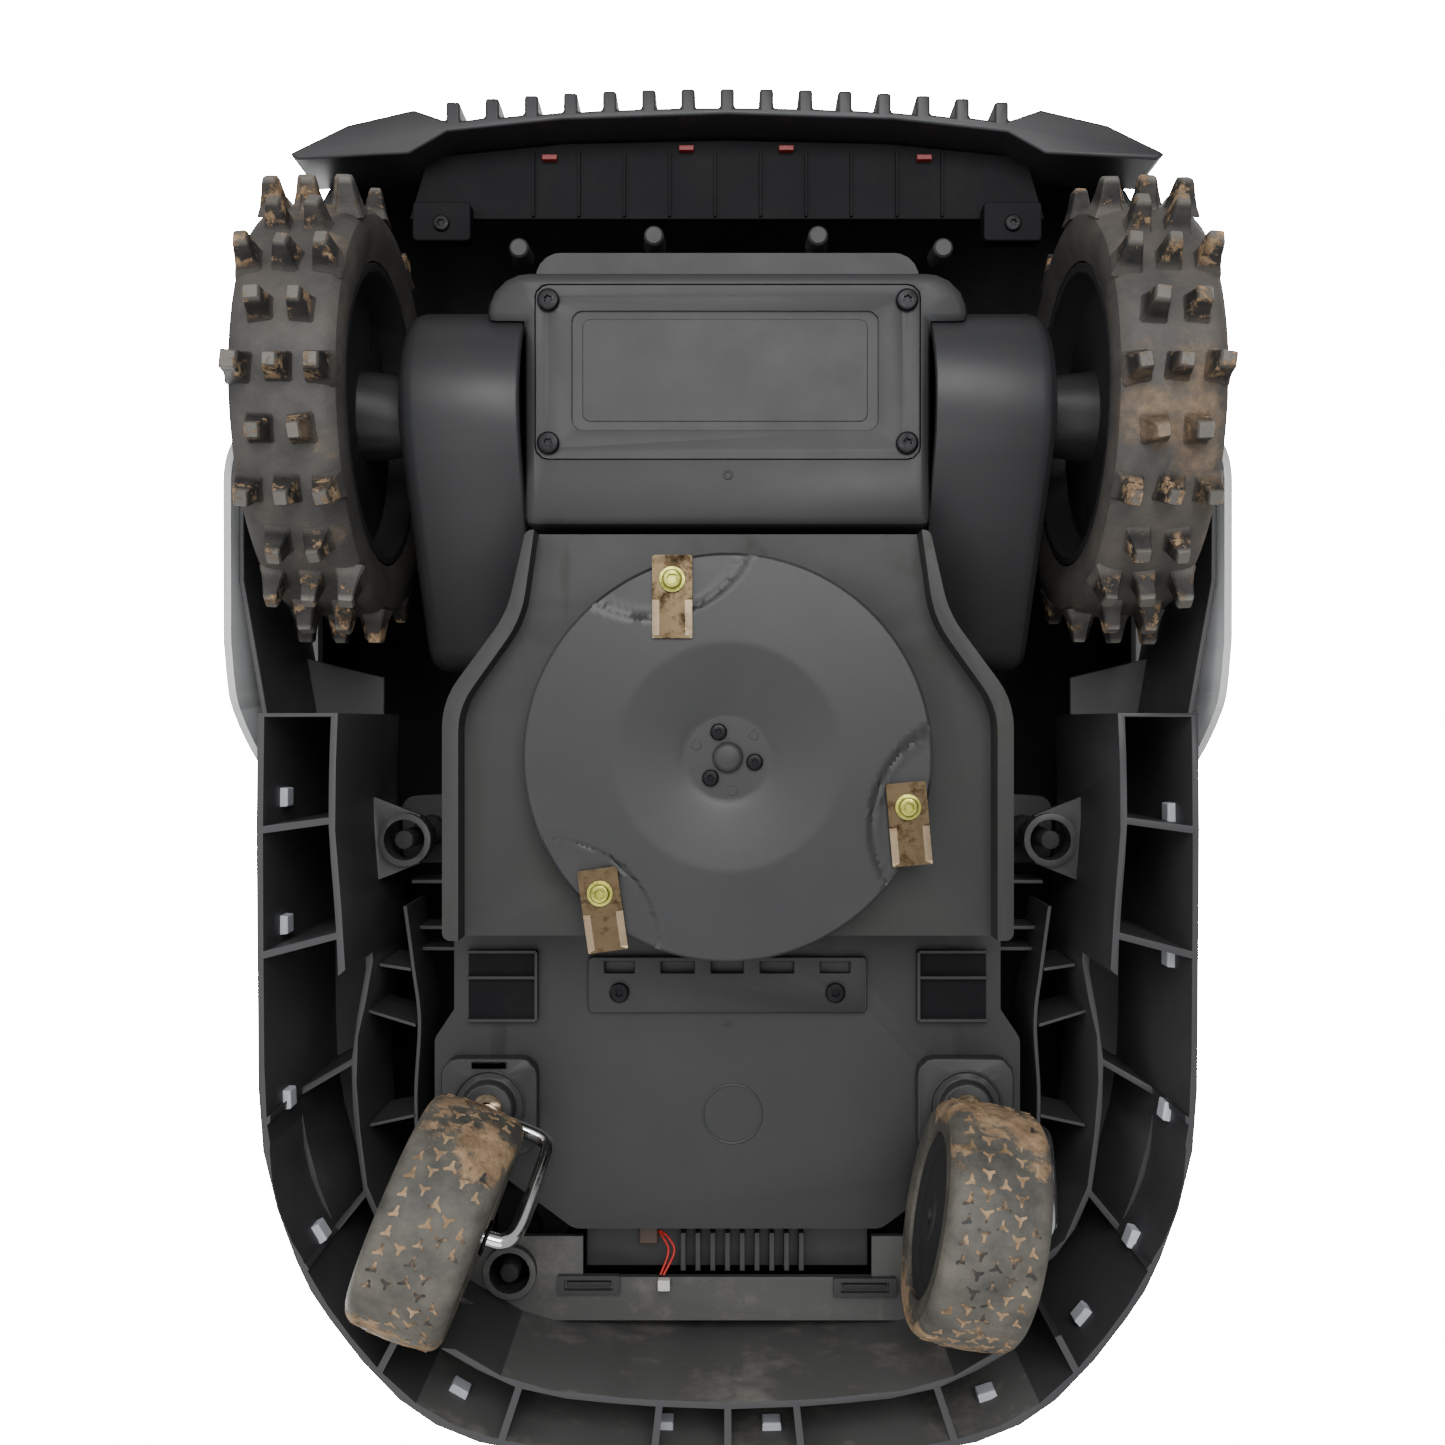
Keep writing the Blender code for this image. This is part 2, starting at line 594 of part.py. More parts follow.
def build_electronics(board_green, black, red, white):
    floor = CHASSIS_LOW + WALL
    prism("control_board", rectangle(-0.060, 0.060, -0.160, -0.070, 0.003, 2), floor + 0.006, floor + 0.0076,
          board_green)
    stand = prism("board_parts", rectangle(-0.045, 0.045, -0.150, -0.085), floor + GAP, floor + 0.0065)
    shape_with(bpy.data.objects["control_board"], stand, "UNION")
    # The magnet sensor sits in front of the pan, and its short lead ends in a plug.
    prism("magnet_sensor", rectangle(0.0290, 0.0370, -0.2130, -0.2040), 0.112, 0.120, black)
    route = smooth_line([(0.0285, -0.2080, 0.1150), (0.0240, -0.2100, 0.1120), (0.0232, -0.2160, 0.1080),
                         (0.0260, -0.2230, 0.1050)], 3)
    line = bpy.data.curves.new("sensor_lead", "CURVE")
    line.dimensions = "3D"
    line.bevel_depth = 0.0010
    line.bevel_resolution = 1
    line.use_fill_caps = True
    line.materials.append(red)
    spline = line.splines.new("POLY")
    spline.points.add(len(route) - 1)
    for point, place in zip(spline.points, route):
        point.co = (*place, 1.0)
    lead = bpy.data.objects.new("sensor_lead", line)
    bpy.context.scene.collection.objects.link(lead)
    prism("sensor_plug", rectangle(0.0237, 0.0287, -0.2290, -0.2245), 0.1028, 0.1068, white)


# ---- Floating shell ----

OUTER_WALL = ((0.1760, 0.009), (0.1765, -0.035), (0.1760, -0.105), (0.1740, -0.155), (0.1620, -0.195),
              (0.1490, -0.2180), (0.1230, -0.2480), (0.0930, -0.2640), (0.0450, -0.2710), (0.0, -HALF_LENGTH))
INNER_WALL = ((0.1460, 0.009), (0.1470, -0.035), (0.1430, -0.091), (0.1490, -0.121), (0.1480, -0.160),
              (0.1360, -0.203), (0.0850, -0.239), (0.0500, -0.2460), (0.0280, -0.248), (0.0, -0.249))
CHANNEL_RIBS = (0.0, 0.11, 0.228, 0.385, 0.53, 0.65, 0.785, 0.93, 1.0)


def along(line, t):
    """The point at fraction t of a polyline's length."""
    lengths = [math.dist(a, b) for a, b in zip(line, line[1:])]
    left = t * sum(lengths)
    for length, a, b in zip(lengths, line, line[1:]):
        if left <= length:
            break
        left -= length
    return Vector(a).lerp(Vector(b), min(1.0, left / length))


def channel_cell(outer, inner, t0, t1, side):
    """The outline of one pocket between two ribs, inset from the walls."""
    points = []
    for walls, order in (((outer, inner), (0, 1, 2, 3)), ((inner, outer), (3, 2, 1, 0))):
        for step in order:
            t = t0 + (t1 - t0) * step / 3
            near = along(walls[0], t)
            far = along(walls[1], t)
            inset = 0.0025 / (far - near).length
            point = near.lerp(far, inset)
            points.append((side * point.x, point.y))
    return points


def build_bumper(dark):
    """The lower front shell: a ribbed channel round the front, open below, arched over the casters."""
    outer = smooth_line(OUTER_WALL, 2)
    inner = smooth_line(INNER_WALL, 2)
    outline = outer[:-1] + [(-x, y) for x, y in reversed(outer)] + [(-x, y) for x, y in inner[:-1]]
    outline += list(reversed(inner))
    bumper = prism("front_bumper", outline, RIM_LOW, SHELL_SPLIT - GAP, dark)
    rib = 0.0035
    bm = bmesh.new()
    for t0, t1 in zip(CHANNEL_RIBS, CHANNEL_RIBS[1:]):
        for side in (1.0, -1.0):
            cell = channel_cell(outer, inner, t0 + rib, t1 - rib, side)
            add_prism(bm, cell, RIM_LOW - 0.01, SHELL_SPLIT - WALL)
    shape_with(bumper, finish("channel_cells", bm, None), "DIFFERENCE")
    shelf_line = rounded([(-0.100, -0.2430, 0.004), (-0.118, -0.208, 0.0), (0.118, -0.208, 0.0),
                          (0.100, -0.2430, 0.004)])
    shape_with(bumper, prism("shelf", shelf_line, SHELF_LOW, SHELF_LOW + WALL), "UNION")
    bm = bmesh.new()
    for x, y in FLOAT_MOUNTS[:2]:
        reach = 0.0145 * math.copysign(1.0, x)
        near, far = x - 0.4 * reach, x + reach
        arm = [(near, y + 0.010), (near, y - 0.010), (far, y - 0.018), (far, y + 0.018)]
        add_prism(bm, arm, SHELF_LOW, SHELF_LOW + WALL)
    shape_with(bumper, finish("float_arms", bm, None), "UNION")
    bm = bmesh.new()
    for x, y in FLOAT_MOUNTS:
        add_turned(bm, rod_profile(0.0110, *FLOAT_RING_LEVELS), (x, y, 0.0), "Z", 24)
    shape_with(bumper, finish("float_rings", bm, None), "UNION")
    shape_with(bumper, holes("float_holes", FLOAT_MOUNTS, 0.0085, 0.09, 0.13, 20), "DIFFERENCE")
    for name, shift in (("front", -FLOAT_TRAVEL), ("middle", 0.0), ("rear", FLOAT_TRAVEL)):
        swings = [(side * CASTER_X, CASTER_Y + shift) for _, side in SIDES]
        arches = holes(f"caster_arches_{name}", swings, ARCH_RADIUS, RIM_LOW - 0.01, ARCH_HIGH, 40)
        shape_with(bumper, arches, "DIFFERENCE")
    notch = rectangle(-0.060, 0.060, -0.225, -0.200)
    shape_with(bumper, prism("sensor_notch", notch, 0.09, 0.12), "DIFFERENCE")


def shell_outline():
    """The top cover's widest line: the bumper's front line, then out and back over the rear wheels."""
    front = list(reversed(OUTER_WALL))
    back = [(0.1870, 0.030), (0.1890, 0.120), (0.1860, 0.215), (0.1700, 0.250), (0.1300, 0.2650),
            (0.0650, 0.2715), (0.0, HALF_LENGTH)]
    half = smooth_line(front + back, 2)
    return half + [(-x, y) for x, y in reversed(half[1:-1])]


def display_line(margin):
    half_width, half_height = (half + margin for half in DISPLAY_HALF)
    return rectangle(-half_width, half_width, DISPLAY_Y - half_height, DISPLAY_Y + half_height, 0.003)


def build_top_cover(dark):
    """A domed cover, open below, with a flat crown for the controls."""
    line = shell_outline()
    outer_levels = ((SHELL_SPLIT, 1.0), (0.190, 0.988), (0.225, 0.920), (0.250, 0.780), (SHELL_TOP, 0.560))
    inner_levels = [(z - (WALL if z > 0.16 else 0.0), scale - 0.022) for z, scale in reversed(outer_levels)]
    bm = bmesh.new()
    rings = []
    for z, scale in list(outer_levels) + inner_levels:
        rings.append([bm.verts.new((x * scale, y * scale, z)) for x, y in line])
    count = len(line)
    crown = len(outer_levels)
    for k, (lower, upper) in enumerate(zip(rings, rings[1:] + rings[:1])):
        if k == crown - 1:
            bm.faces.new(lower)
            bm.faces.new(upper)
            continue
        for i in range(count):
            j = (i + 1) % count
            bm.faces.new((lower[i], lower[j], upper[j], upper[i]))
    cover = finish("top_cover", bm, dark)
    shape_with(cover, holes("stop_hole", [(0.0, STOP_Y)], STOP_RADIUS + GAP, *CROWN_CUT, 28), "DIFFERENCE")
    shape_with(cover, holes("knob_hole", [(0.0, KNOB_Y)], KNOB_RADIUS + 0.0045, *CROWN_CUT, 28), "DIFFERENCE")
    shape_with(cover, prism("display_hole", display_line(0.0005), *CROWN_CUT), "DIFFERENCE")
    spots = [(x, KEY_Y) for x in KEY_PLACES]
    shape_with(cover, holes("keypad_holes", spots, KEY_RADIUS + GAP, *CROWN_CUT, 16), "DIFFERENCE")


def build_side_panel(label, side, silver):
    """A silver panel outside the rear wheel: its front end turns in, its lower edge rises over the wheel."""
    line = smooth_line([(HALF_WIDTH, 0.232), (HALF_WIDTH, 0.060), (0.1920, 0.032), (0.1895, 0.010),
                        (0.1855, -0.005), (0.1805, -0.0160)], 3)
    outer = [(min(x, HALF_WIDTH), y) for x, y in line]
    outline = [(side * x, y) for x, y in outer] + [(side * (x - WALL), y) for x, y in reversed(outer)]
    panel = prism(f"side_panel_{label}", outline, 0.050, SHELL_SPLIT - GAP, silver)
    tie = rectangle(min(side * 0.1800, side * 0.1905), max(side * 0.1800, side * 0.1905), 0.030, 0.232)
    flange = prism(f"panel_flange_{label}", tie, 0.142, SHELL_SPLIT - GAP)
    shape_with(panel, flange, "UNION")
    corners = [(-0.014, 0.160, 0.0), (-0.020, 0.078, 0.010), (0.014, 0.060, 0.015), (0.105, 0.060, 0.020),
               (0.150, 0.105, 0.020), (0.232, 0.125, 0.006), (0.232, 0.160, 0.0)]
    side_view = prism(f"panel_side_view_{label}", rounded(corners), *span(side, 0.170, 0.200), None, "X")
    shape_with(panel, side_view, "INTERSECT")


def build_rear_grille(dark):
    """The rear wall with upright fins between two corner wings."""
    inner = [(0.0, 0.2615), (0.070, 0.2592), (0.118, 0.2540), (0.134, 0.2450), (0.181, 0.2425)]
    outer = [(0.1845, 0.2450), (0.1600, 0.2570), (0.1320, 0.2635)]
    for number in range(FIN_COUNT // 2, -1, -1):
        x = number * FIN_PITCH
        tip = HALF_LENGTH - FIN_ROW_BOW * x * x
        root = tip - FIN_DEPTH
        outer += [(x + FIN_WIDTH / 2, root), (x + FIN_WIDTH / 2, tip)]
        if number:
            outer += [(x - FIN_WIDTH / 2, tip), (x - FIN_WIDTH / 2, root)]
    half = inner + outer
    outline = half + [(-x, y) for x, y in reversed(half) if x > 1e-6]
    prism("rear_grille", outline, GRILLE_LOW, SHELL_SPLIT - GAP, dark)


def build_controls(dark, red, glass, grey):
    """Stop button, height knob, display and keypad, all set in the flat crown."""
    cap = ((0.0, 0.2500), (STOP_RADIUS, 0.2500), (STOP_RADIUS, 0.2660), (STOP_RADIUS - 0.0022, 0.2690),
           (0.0, 0.2700))
    turned("stop_button", cap, (0.0, STOP_Y, 0.0), red, "Z", 28)
    profile = ((0.0, 0.1700), (0.0040, 0.1700), (0.0040, 0.2480), (KNOB_RADIUS, 0.2500),
               (KNOB_RADIUS, 0.2620), (KNOB_RADIUS - 0.0020, 0.2640), (0.0, 0.2640))
    knob = turned("height_knob", profile, (0.0, KNOB_Y, 0.0), dark, "Z", 28)
    grip = rectangle(-0.004, 0.004, KNOB_Y - 0.022, KNOB_Y + 0.022, 0.003)
    shape_with(knob, prism("knob_grip", grip, 0.2600, 0.2700), "UNION")
    prism("display_window", display_line(0.0), 0.2560, SHELL_TOP - 0.0005, glass)
    key = rod_profile(KEY_RADIUS, 0.2560, 0.2635)
    for number, x in enumerate(KEY_PLACES, 1):
        turned(f"keypad_button_{number}", key, (x, KEY_Y, 0.0), grey, "Z", 16)


def main():
    clear_scene()
    black = material("shell_plastic", (0.030, 0.031, 0.034), 0.45)
    dark = material("chassis_plastic", (0.045, 0.047, 0.050), 0.55)
    rubber = material("tyre_rubber", (0.035, 0.033, 0.030), 0.85)
    chrome = material("chrome_rod", (0.75, 0.75, 0.76), 0.12, 1.0)
    steel = material("dark_steel", (0.08, 0.08, 0.085), 0.35, 1.0)
    bronze = material("blade_steel", (0.22, 0.16, 0.10), 0.38, 1.0)
    zinc = material("yellow_zinc", (0.62, 0.60, 0.25), 0.30, 1.0)
    silver = material("silver_panel", (0.62, 0.63, 0.64), 0.35, 0.3)
    red = material("stop_red", (0.60, 0.03, 0.02), 0.40)
    wire = material("lead_red", (0.50, 0.05, 0.04), 0.50)
    white = material("plug_white", (0.75, 0.74, 0.70), 0.50)
    board = material("board_green", (0.03, 0.14, 0.07), 0.50)
    glass = material("display_glass", (0.01, 0.012, 0.014), 0.08)
    grey = material("key_grey", (0.25, 0.25, 0.26), 0.50)

    build_chassis(dark)
    build_float_posts(rubber)
    build_battery_bay(dark, steel, black)
    build_deck_guard(dark)
    build_cutting_motor(steel)
    build_disc(dark, steel)
    build_blades(bronze, zinc)
    build_access_plate(dark, steel)
    build_electronics(board, black, wire, white)
    for label, side in SIDES:
        build_drive(label, side, dark, steel, rubber, dark)
        build_caster(label, side, dark, chrome, rubber, black)
        build_side_panel(label, side, silver)
    build_bumper(black)
    build_top_cover(black)
    build_rear_grille(black)
    build_controls(dark, red, glass, grey)


main()
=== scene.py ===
"""The looks of a robotic lawn mower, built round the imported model. It is seen from straight below."""

import json
import math
import random

import bmesh
import bpy
from mathutils import Matrix, Vector
from mathutils.bvhtree import BVHTree


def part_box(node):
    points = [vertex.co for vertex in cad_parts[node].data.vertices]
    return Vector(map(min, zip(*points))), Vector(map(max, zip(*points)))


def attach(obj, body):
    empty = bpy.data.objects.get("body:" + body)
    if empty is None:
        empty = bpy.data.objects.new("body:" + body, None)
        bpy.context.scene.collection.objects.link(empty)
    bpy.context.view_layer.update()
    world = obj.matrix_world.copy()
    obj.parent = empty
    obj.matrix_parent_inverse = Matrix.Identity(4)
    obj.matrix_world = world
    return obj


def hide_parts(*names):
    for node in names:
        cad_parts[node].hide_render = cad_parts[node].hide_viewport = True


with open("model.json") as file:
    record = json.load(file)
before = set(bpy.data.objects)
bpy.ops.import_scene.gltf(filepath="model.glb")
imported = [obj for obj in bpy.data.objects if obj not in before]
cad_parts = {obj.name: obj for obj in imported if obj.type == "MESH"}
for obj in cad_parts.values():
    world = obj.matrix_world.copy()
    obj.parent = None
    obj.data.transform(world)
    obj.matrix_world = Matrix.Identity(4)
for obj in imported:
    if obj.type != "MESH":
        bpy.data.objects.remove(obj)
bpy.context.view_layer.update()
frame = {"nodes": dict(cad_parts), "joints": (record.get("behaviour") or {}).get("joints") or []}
nodes = frame["nodes"]
joints = {joint["name"]: joint for joint in frame["joints"]}
SIDES = (("left", 1.0), ("right", -1.0))
ON_SHELL = ("shell", "black_plastic")
ON_CHASSIS = ("chassis", "dark_plastic")

# Where things are, read from the frame.
DISC_LOW, DISC_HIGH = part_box("blade_disc")
DISC_CENTRE = (DISC_LOW + DISC_HIGH) / 2.0
DISC_RADIUS = (DISC_HIGH.x - DISC_LOW.x) / 2.0
COVER_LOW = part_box("battery_cover")[0]
PAN_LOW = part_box("chassis_pan")[0]
GRILLE_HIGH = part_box("rear_grille")[1]


# ---- Materials ----

def new_material(name, colour, roughness, metallic=0.0, **sockets):
    """A Principled material, its node tree and its shader. Extra sockets are constant values."""
    paint = bpy.data.materials.new(name)
    paint.use_nodes = True
    tree = paint.node_tree
    shader = tree.nodes["Principled BSDF"]
    shader.inputs["Base Color"].default_value = (*colour, 1.0)
    shader.inputs["Roughness"].default_value = roughness
    shader.inputs["Metallic"].default_value = metallic
    for key, value in sockets.items():
        shader.inputs[key.replace("_", " ")].default_value = value
    return paint, tree, shader


def add_node(tree, kind, **values):
    node = tree.nodes.new(kind)
    for key, value in values.items():
        if key in node.inputs:
            node.inputs[key].default_value = value
        else:
            setattr(node, key, value)
    return node


def noise(tree, scale, detail=4.0, roughness=0.6, stretch=None):
    """Noise in the object's own metres."""
    place = tree.nodes.new("ShaderNodeTexCoord")
    source = place.outputs["Object"]
    if stretch is not None:
        mapping = tree.nodes.new("ShaderNodeMapping")
        mapping.inputs["Scale"].default_value = stretch
        tree.links.new(source, mapping.inputs["Vector"])
        source = mapping.outputs["Vector"]
    texture = tree.nodes.new("ShaderNodeTexNoise")
    texture.inputs["Scale"].default_value = scale
    texture.inputs["Detail"].default_value = detail
    texture.inputs["Roughness"].default_value = roughness
    tree.links.new(source, texture.inputs["Vector"])
    return texture.outputs["Fac"]


def ramp(tree, value, low, high, start=0.0, end=1.0):
    """Map a value between low and high to start and end, and clamp it."""
    node = tree.nodes.new("ShaderNodeMapRange")
    node.inputs["From Min"].default_value = low
    node.inputs["From Max"].default_value = high
    node.inputs["To Min"].default_value = start
    node.inputs["To Max"].default_value = end
    tree.links.new(value, node.inputs["Value"])
    return node.outputs["Result"]


def mix_colour(tree, factor, first, second):
    node = tree.nodes.new("ShaderNodeMix")
    node.data_type = "RGBA"
    tree.links.new(factor, node.inputs["Factor"])
    for socket, value in ((node.inputs[6], first), (node.inputs[7], second)):
        if isinstance(value, tuple):
            socket.default_value = (*value, 1.0)
        else:
            tree.links.new(value, socket)
    return node.outputs[2]


def math_node(tree, operation, first, second):
    node = tree.nodes.new("ShaderNodeMath")
    node.operation = operation
    for socket, value in zip(node.inputs, (first, second)):
        if isinstance(value, (int, float)):
            socket.default_value = value
        else:
            tree.links.new(value, socket)
    return node.outputs[0]


def add_bump(tree, shader, height, strength, distance):
    node = tree.nodes.new("ShaderNodeBump")
    node.inputs["Strength"].default_value = strength
    node.inputs["Distance"].default_value = distance
    tree.links.new(height, node.inputs["Height"])
    tree.links.new(node.outputs["Normal"], shader.inputs["Normal"])


def moulded(name, colour, roughness, dust=(0.16, 0.13, 0.09), dust_amount=0.12, grain_depth=0.00006):
    """Moulded plastic: a fine eroded grain, slight colour drift, and patches of dry dust and scuffs."""
    paint, tree, shader = new_material(name, colour, roughness)
    drift = ramp(tree, noise(tree, 9.0, 3.0), 0.3, 0.7)
    lighter = tuple(min(1.0, c * 1.15 + 0.001) for c in colour)
    base = mix_colour(tree, drift, colour, lighter)
    patches = ramp(tree, noise(tree, 26.0, 8.0, 0.72), 0.52, 0.78, 0.0, dust_amount)
    streaks = ramp(tree, noise(tree, 60.0, 5.0, 0.6, (1.0, 0.18, 1.0)), 0.62, 0.80, 0.0, dust_amount * 0.7)
    dusty = math_node(tree, "MAXIMUM", patches, streaks)
    base = mix_colour(tree, dusty, base, dust)
    tree.links.new(base, shader.inputs["Base Color"])
    rough = ramp(tree, noise(tree, 45.0, 4.0), 0.3, 0.7, roughness - 0.02, roughness + 0.04)
    tree.links.new(math_node(tree, "ADD", rough, dusty), shader.inputs["Roughness"])
    add_bump(tree, shader, noise(tree, 900.0, 2.0, 0.5), 0.35, grain_depth)
    return paint


def along_axis(tree, origin, axis):
    """How far a point is from origin along axis, on either side."""
    place = tree.nodes.new("ShaderNodeTexCoord")
    shift = add_node(tree, "ShaderNodeVectorMath", operation="SUBTRACT")
    tree.links.new(place.outputs["Object"], shift.inputs[0])
    shift.inputs[1].default_value = origin
    product = add_node(tree, "ShaderNodeVectorMath", operation="DOT_PRODUCT")
    tree.links.new(shift.outputs["Vector"], product.inputs[0])
    product.inputs[1].default_value = axis
    return math_node(tree, "ABSOLUTE", product.outputs["Value"], 0.0)


def from_axle(tree, origin, axis):
    """How far a point is from the axle."""
    place = tree.nodes.new("ShaderNodeTexCoord")
    shift = add_node(tree, "ShaderNodeVectorMath", operation="SUBTRACT")
    tree.links.new(place.outputs["Object"], shift.inputs[0])
    shift.inputs[1].default_value = origin
    flat = add_node(tree, "ShaderNodeVectorMath", operation="CROSS_PRODUCT")
    tree.links.new(shift.outputs["Vector"], flat.inputs[0])
    flat.inputs[1].default_value = axis
    reach = add_node(tree, "ShaderNodeVectorMath", operation="LENGTH")
    tree.links.new(flat.outputs["Vector"], reach.inputs[0])
    return reach.outputs["Value"]


def mud_colours(tree):
    return mix_colour(tree, ramp(tree, noise(tree, 150.0, 6.0), 0.3, 0.7), (0.150, 0.093, 0.047),
                      (0.480, 0.325, 0.190))


def finish_rubber(tree, shader, rubber, mud):
    """Rubber under mud: colour, roughness and a crusty relief."""
    tree.links.new(mix_colour(tree, mud, rubber, mud_colours(tree)), shader.inputs["Base Color"])
    tree.links.new(ramp(tree, mud, 0.0, 1.0, 0.58, 0.95), shader.inputs["Roughness"])
    crust = math_node(tree, "MULTIPLY", math_node(tree, "MULTIPLY", mud, noise(tree, 260.0, 5.0)), 4.0)
    add_bump(tree, shader, math_node(tree, "ADD", noise(tree, 420.0, 4.0), crust), 0.6, 0.0004)


def lugged_rubber(name, origin, axis, amount):
    """A hard tyre: a dusty smooth tread, darker lugs, and mud in clumps on some of them."""
    paint, tree, shader = new_material(name, (0.050, 0.046, 0.042), 0.62)
    reach = from_axle(tree, origin, axis)
    tread = mix_colour(tree, ramp(tree, noise(tree, 22.0, 7.0, 0.65), 0.35, 0.68), (0.040, 0.038, 0.037),
                       (0.110, 0.098, 0.085))
    lug = mix_colour(tree, ramp(tree, noise(tree, 90.0, 6.0), 0.35, 0.75), (0.010, 0.009, 0.009),
                     (0.052, 0.047, 0.041))
    lug = mix_colour(tree, ramp(tree, reach, 0.0895, 0.0915, 0.0, 0.75), lug, (0.190, 0.178, 0.158))
    rubber = mix_colour(tree, ramp(tree, reach, 0.0808, 0.0835), tread, lug)
    on_lugs = ramp(tree, noise(tree, 85.0, 8.0, 0.72), 0.560 - 0.06 * amount, 0.610 - 0.06 * amount)
    on_lugs = math_node(tree, "MULTIPLY", on_lugs, ramp(tree, reach, 0.0812, 0.0840, 0.0, 0.95))
    smeared = ramp(tree, noise(tree, 16.0, 9.0, 0.70), 0.58 - 0.06 * amount, 0.72, 0.0, 0.75)
    smeared = math_node(tree, "MULTIPLY", smeared, ramp(tree, reach, 0.0740, 0.0790))
    finish_rubber(tree, shader, rubber, math_node(tree, "MAXIMUM", on_lugs, smeared))
    return paint


def fine_rubber(name, origin, ahead, amount):
    """A soft olive-grey tyre, muddiest towards its front and rear."""
    paint, tree, shader = new_material(name, (0.080, 0.075, 0.064), 0.66)
    rubber = mix_colour(tree, ramp(tree, noise(tree, 60.0, 7.0, 0.65), 0.32, 0.70), (0.050, 0.048, 0.042),
                        (0.150, 0.140, 0.115))
    ends = ramp(tree, along_axis(tree, origin, ahead), 0.020, 0.037, -0.09, 0.13)
    patches = math_node(tree, "ADD", noise(tree, 42.0, 8.0, 0.66), ends)
    mud = ramp(tree, patches, 0.62 - 0.05 * amount, 0.68 - 0.05 * amount, 0.0, 0.92)
    finish_rubber(tree, shader, rubber, mud)
    return paint


def sipe_shade_and_mud(name, origin, ahead, amount):
    """What colours the small sipes: painted shade where they are open, mud where they are packed."""
    paint, tree, shader = new_material(name, (0.020, 0.019, 0.018), 0.85)
    ends = ramp(tree, along_axis(tree, origin, ahead), 0.010, 0.036, 0.0, 0.10)
    packed = ramp(tree, math_node(tree, "ADD", noise(tree, 75.0, 6.0, 0.6), ends), 0.47 - 0.05 * amount,
                  0.56 - 0.05 * amount)
    # Near-black painted shade for the open sipes.
    open_sipe_shade = mix_colour(tree, ramp(tree, noise(tree, 200.0, 4.0), 0.3, 0.7), (0.014, 0.013, 0.013),
                             (0.045, 0.041, 0.036))
    finish_rubber(tree, shader, open_sipe_shade, packed)
    return paint


def metal(name, colour, roughness, spots=(0.10, 0.07, 0.04), spot_amount=0.3, scale=240.0, stretch=None):
    """Bare or plated metal with fine scratches and stains."""
    paint, tree, shader = new_material(name, colour, roughness, 1.0)
    stains = ramp(tree, noise(tree, 130.0, 6.0, 0.7), 0.48, 0.72, 0.0, spot_amount)
    tree.links.new(mix_colour(tree, stains, colour, spots), shader.inputs["Base Color"])
    scratches = noise(tree, scale, 4.0, 0.6, stretch)
    rough = ramp(tree, scratches, 0.3, 0.7, max(0.03, roughness - 0.08), roughness + 0.14)
    tree.links.new(math_node(tree, "ADD", rough, stains), shader.inputs["Roughness"])
    add_bump(tree, shader, noise(tree, scale * 3.0, 2.0, 0.5, stretch), 0.25, 0.00005)
    return paint


SHELL = moulded("shell_black", (0.022, 0.0225, 0.025), 0.40, dust_amount=0.10)
# The shell's plastic made lighter for inner walls, ribs and rims: painted light that lifts the cavities out
# of their shade.
SHELL_IN_PAINTED_LIGHT = moulded("shell_inside_painted_light", (0.040, 0.0405, 0.043), 0.48, dust_amount=0.12)
# Near-black painted shade: a flat colour for the ledge floors and for the rear tray, ribs and lugs, which lie
# in shadow.
SHADE = moulded("shell_painted_shade", (0.006, 0.006, 0.0075), 0.60, dust_amount=0.06)
SHADE.node_tree.nodes["Principled BSDF"].inputs["Specular IOR Level"].default_value = 0.15
CHASSIS = moulded("chassis_charcoal", (0.024, 0.0245, 0.026), 0.50, dust_amount=0.05)
HOUSING = moulded("housing_charcoal", (0.024, 0.0245, 0.0265), 0.44, dust_amount=0.05)
DISC = moulded("disc_charcoal", (0.024, 0.0245, 0.026), 0.38, dust_amount=0.04)
GUARD = moulded("guard_dirty", (0.022, 0.0225, 0.0225), 0.52, dust=(0.080, 0.088, 0.035), dust_amount=0.30)
SHELF = moulded("dusty_floor", (0.080, 0.079, 0.077), 0.62, dust=(0.36, 0.34, 0.28), dust_amount=0.50)
SILVER = moulded("silver_panel", (0.56, 0.57, 0.58), 0.32, dust=(0.42, 0.40, 0.36), dust_amount=0.18)
TAB = moulded("pale_tab", (0.58, 0.60, 0.66), 0.45, dust_amount=0.10)
RED_CLIP = moulded("clip_red", (0.20, 0.012, 0.011), 0.42, dust_amount=0.15)
RED = moulded("button_red", (0.55, 0.018, 0.014), 0.36, dust_amount=0.06)
WHITE = moulded("plug_white", (0.70, 0.69, 0.65), 0.45, dust_amount=0.10)
WIRE = moulded("wire_red", (0.55, 0.025, 0.020), 0.40, dust_amount=0.05)
BROWN = moulded("sensor_brown", (0.075, 0.048, 0.035), 0.50, dust_amount=0.10)
BOARD = moulded("board_green", (0.012, 0.085, 0.035), 0.40, dust_amount=0.05)
GREY = moulded("key_grey", (0.22, 0.22, 0.23), 0.45, dust_amount=0.08)
GLASS = moulded("display_glass", (0.006, 0.007, 0.008), 0.10, dust_amount=0.04, grain_depth=0.00001)
GLASS.node_tree.nodes["Principled BSDF"].inputs["Specular IOR Level"].default_value = 0.15
RUBBER = moulded("post_rubber", (0.018, 0.018, 0.018), 0.75, dust_amount=0.20)
CHROME = metal("chrome", (0.86, 0.86, 0.87), 0.10, spots=(0.45, 0.40, 0.34), spot_amount=0.12)
BRASS = metal("dull_brass", (0.50, 0.40, 0.27), 0.32, spots=(0.20, 0.14, 0.09), spot_amount=0.6)
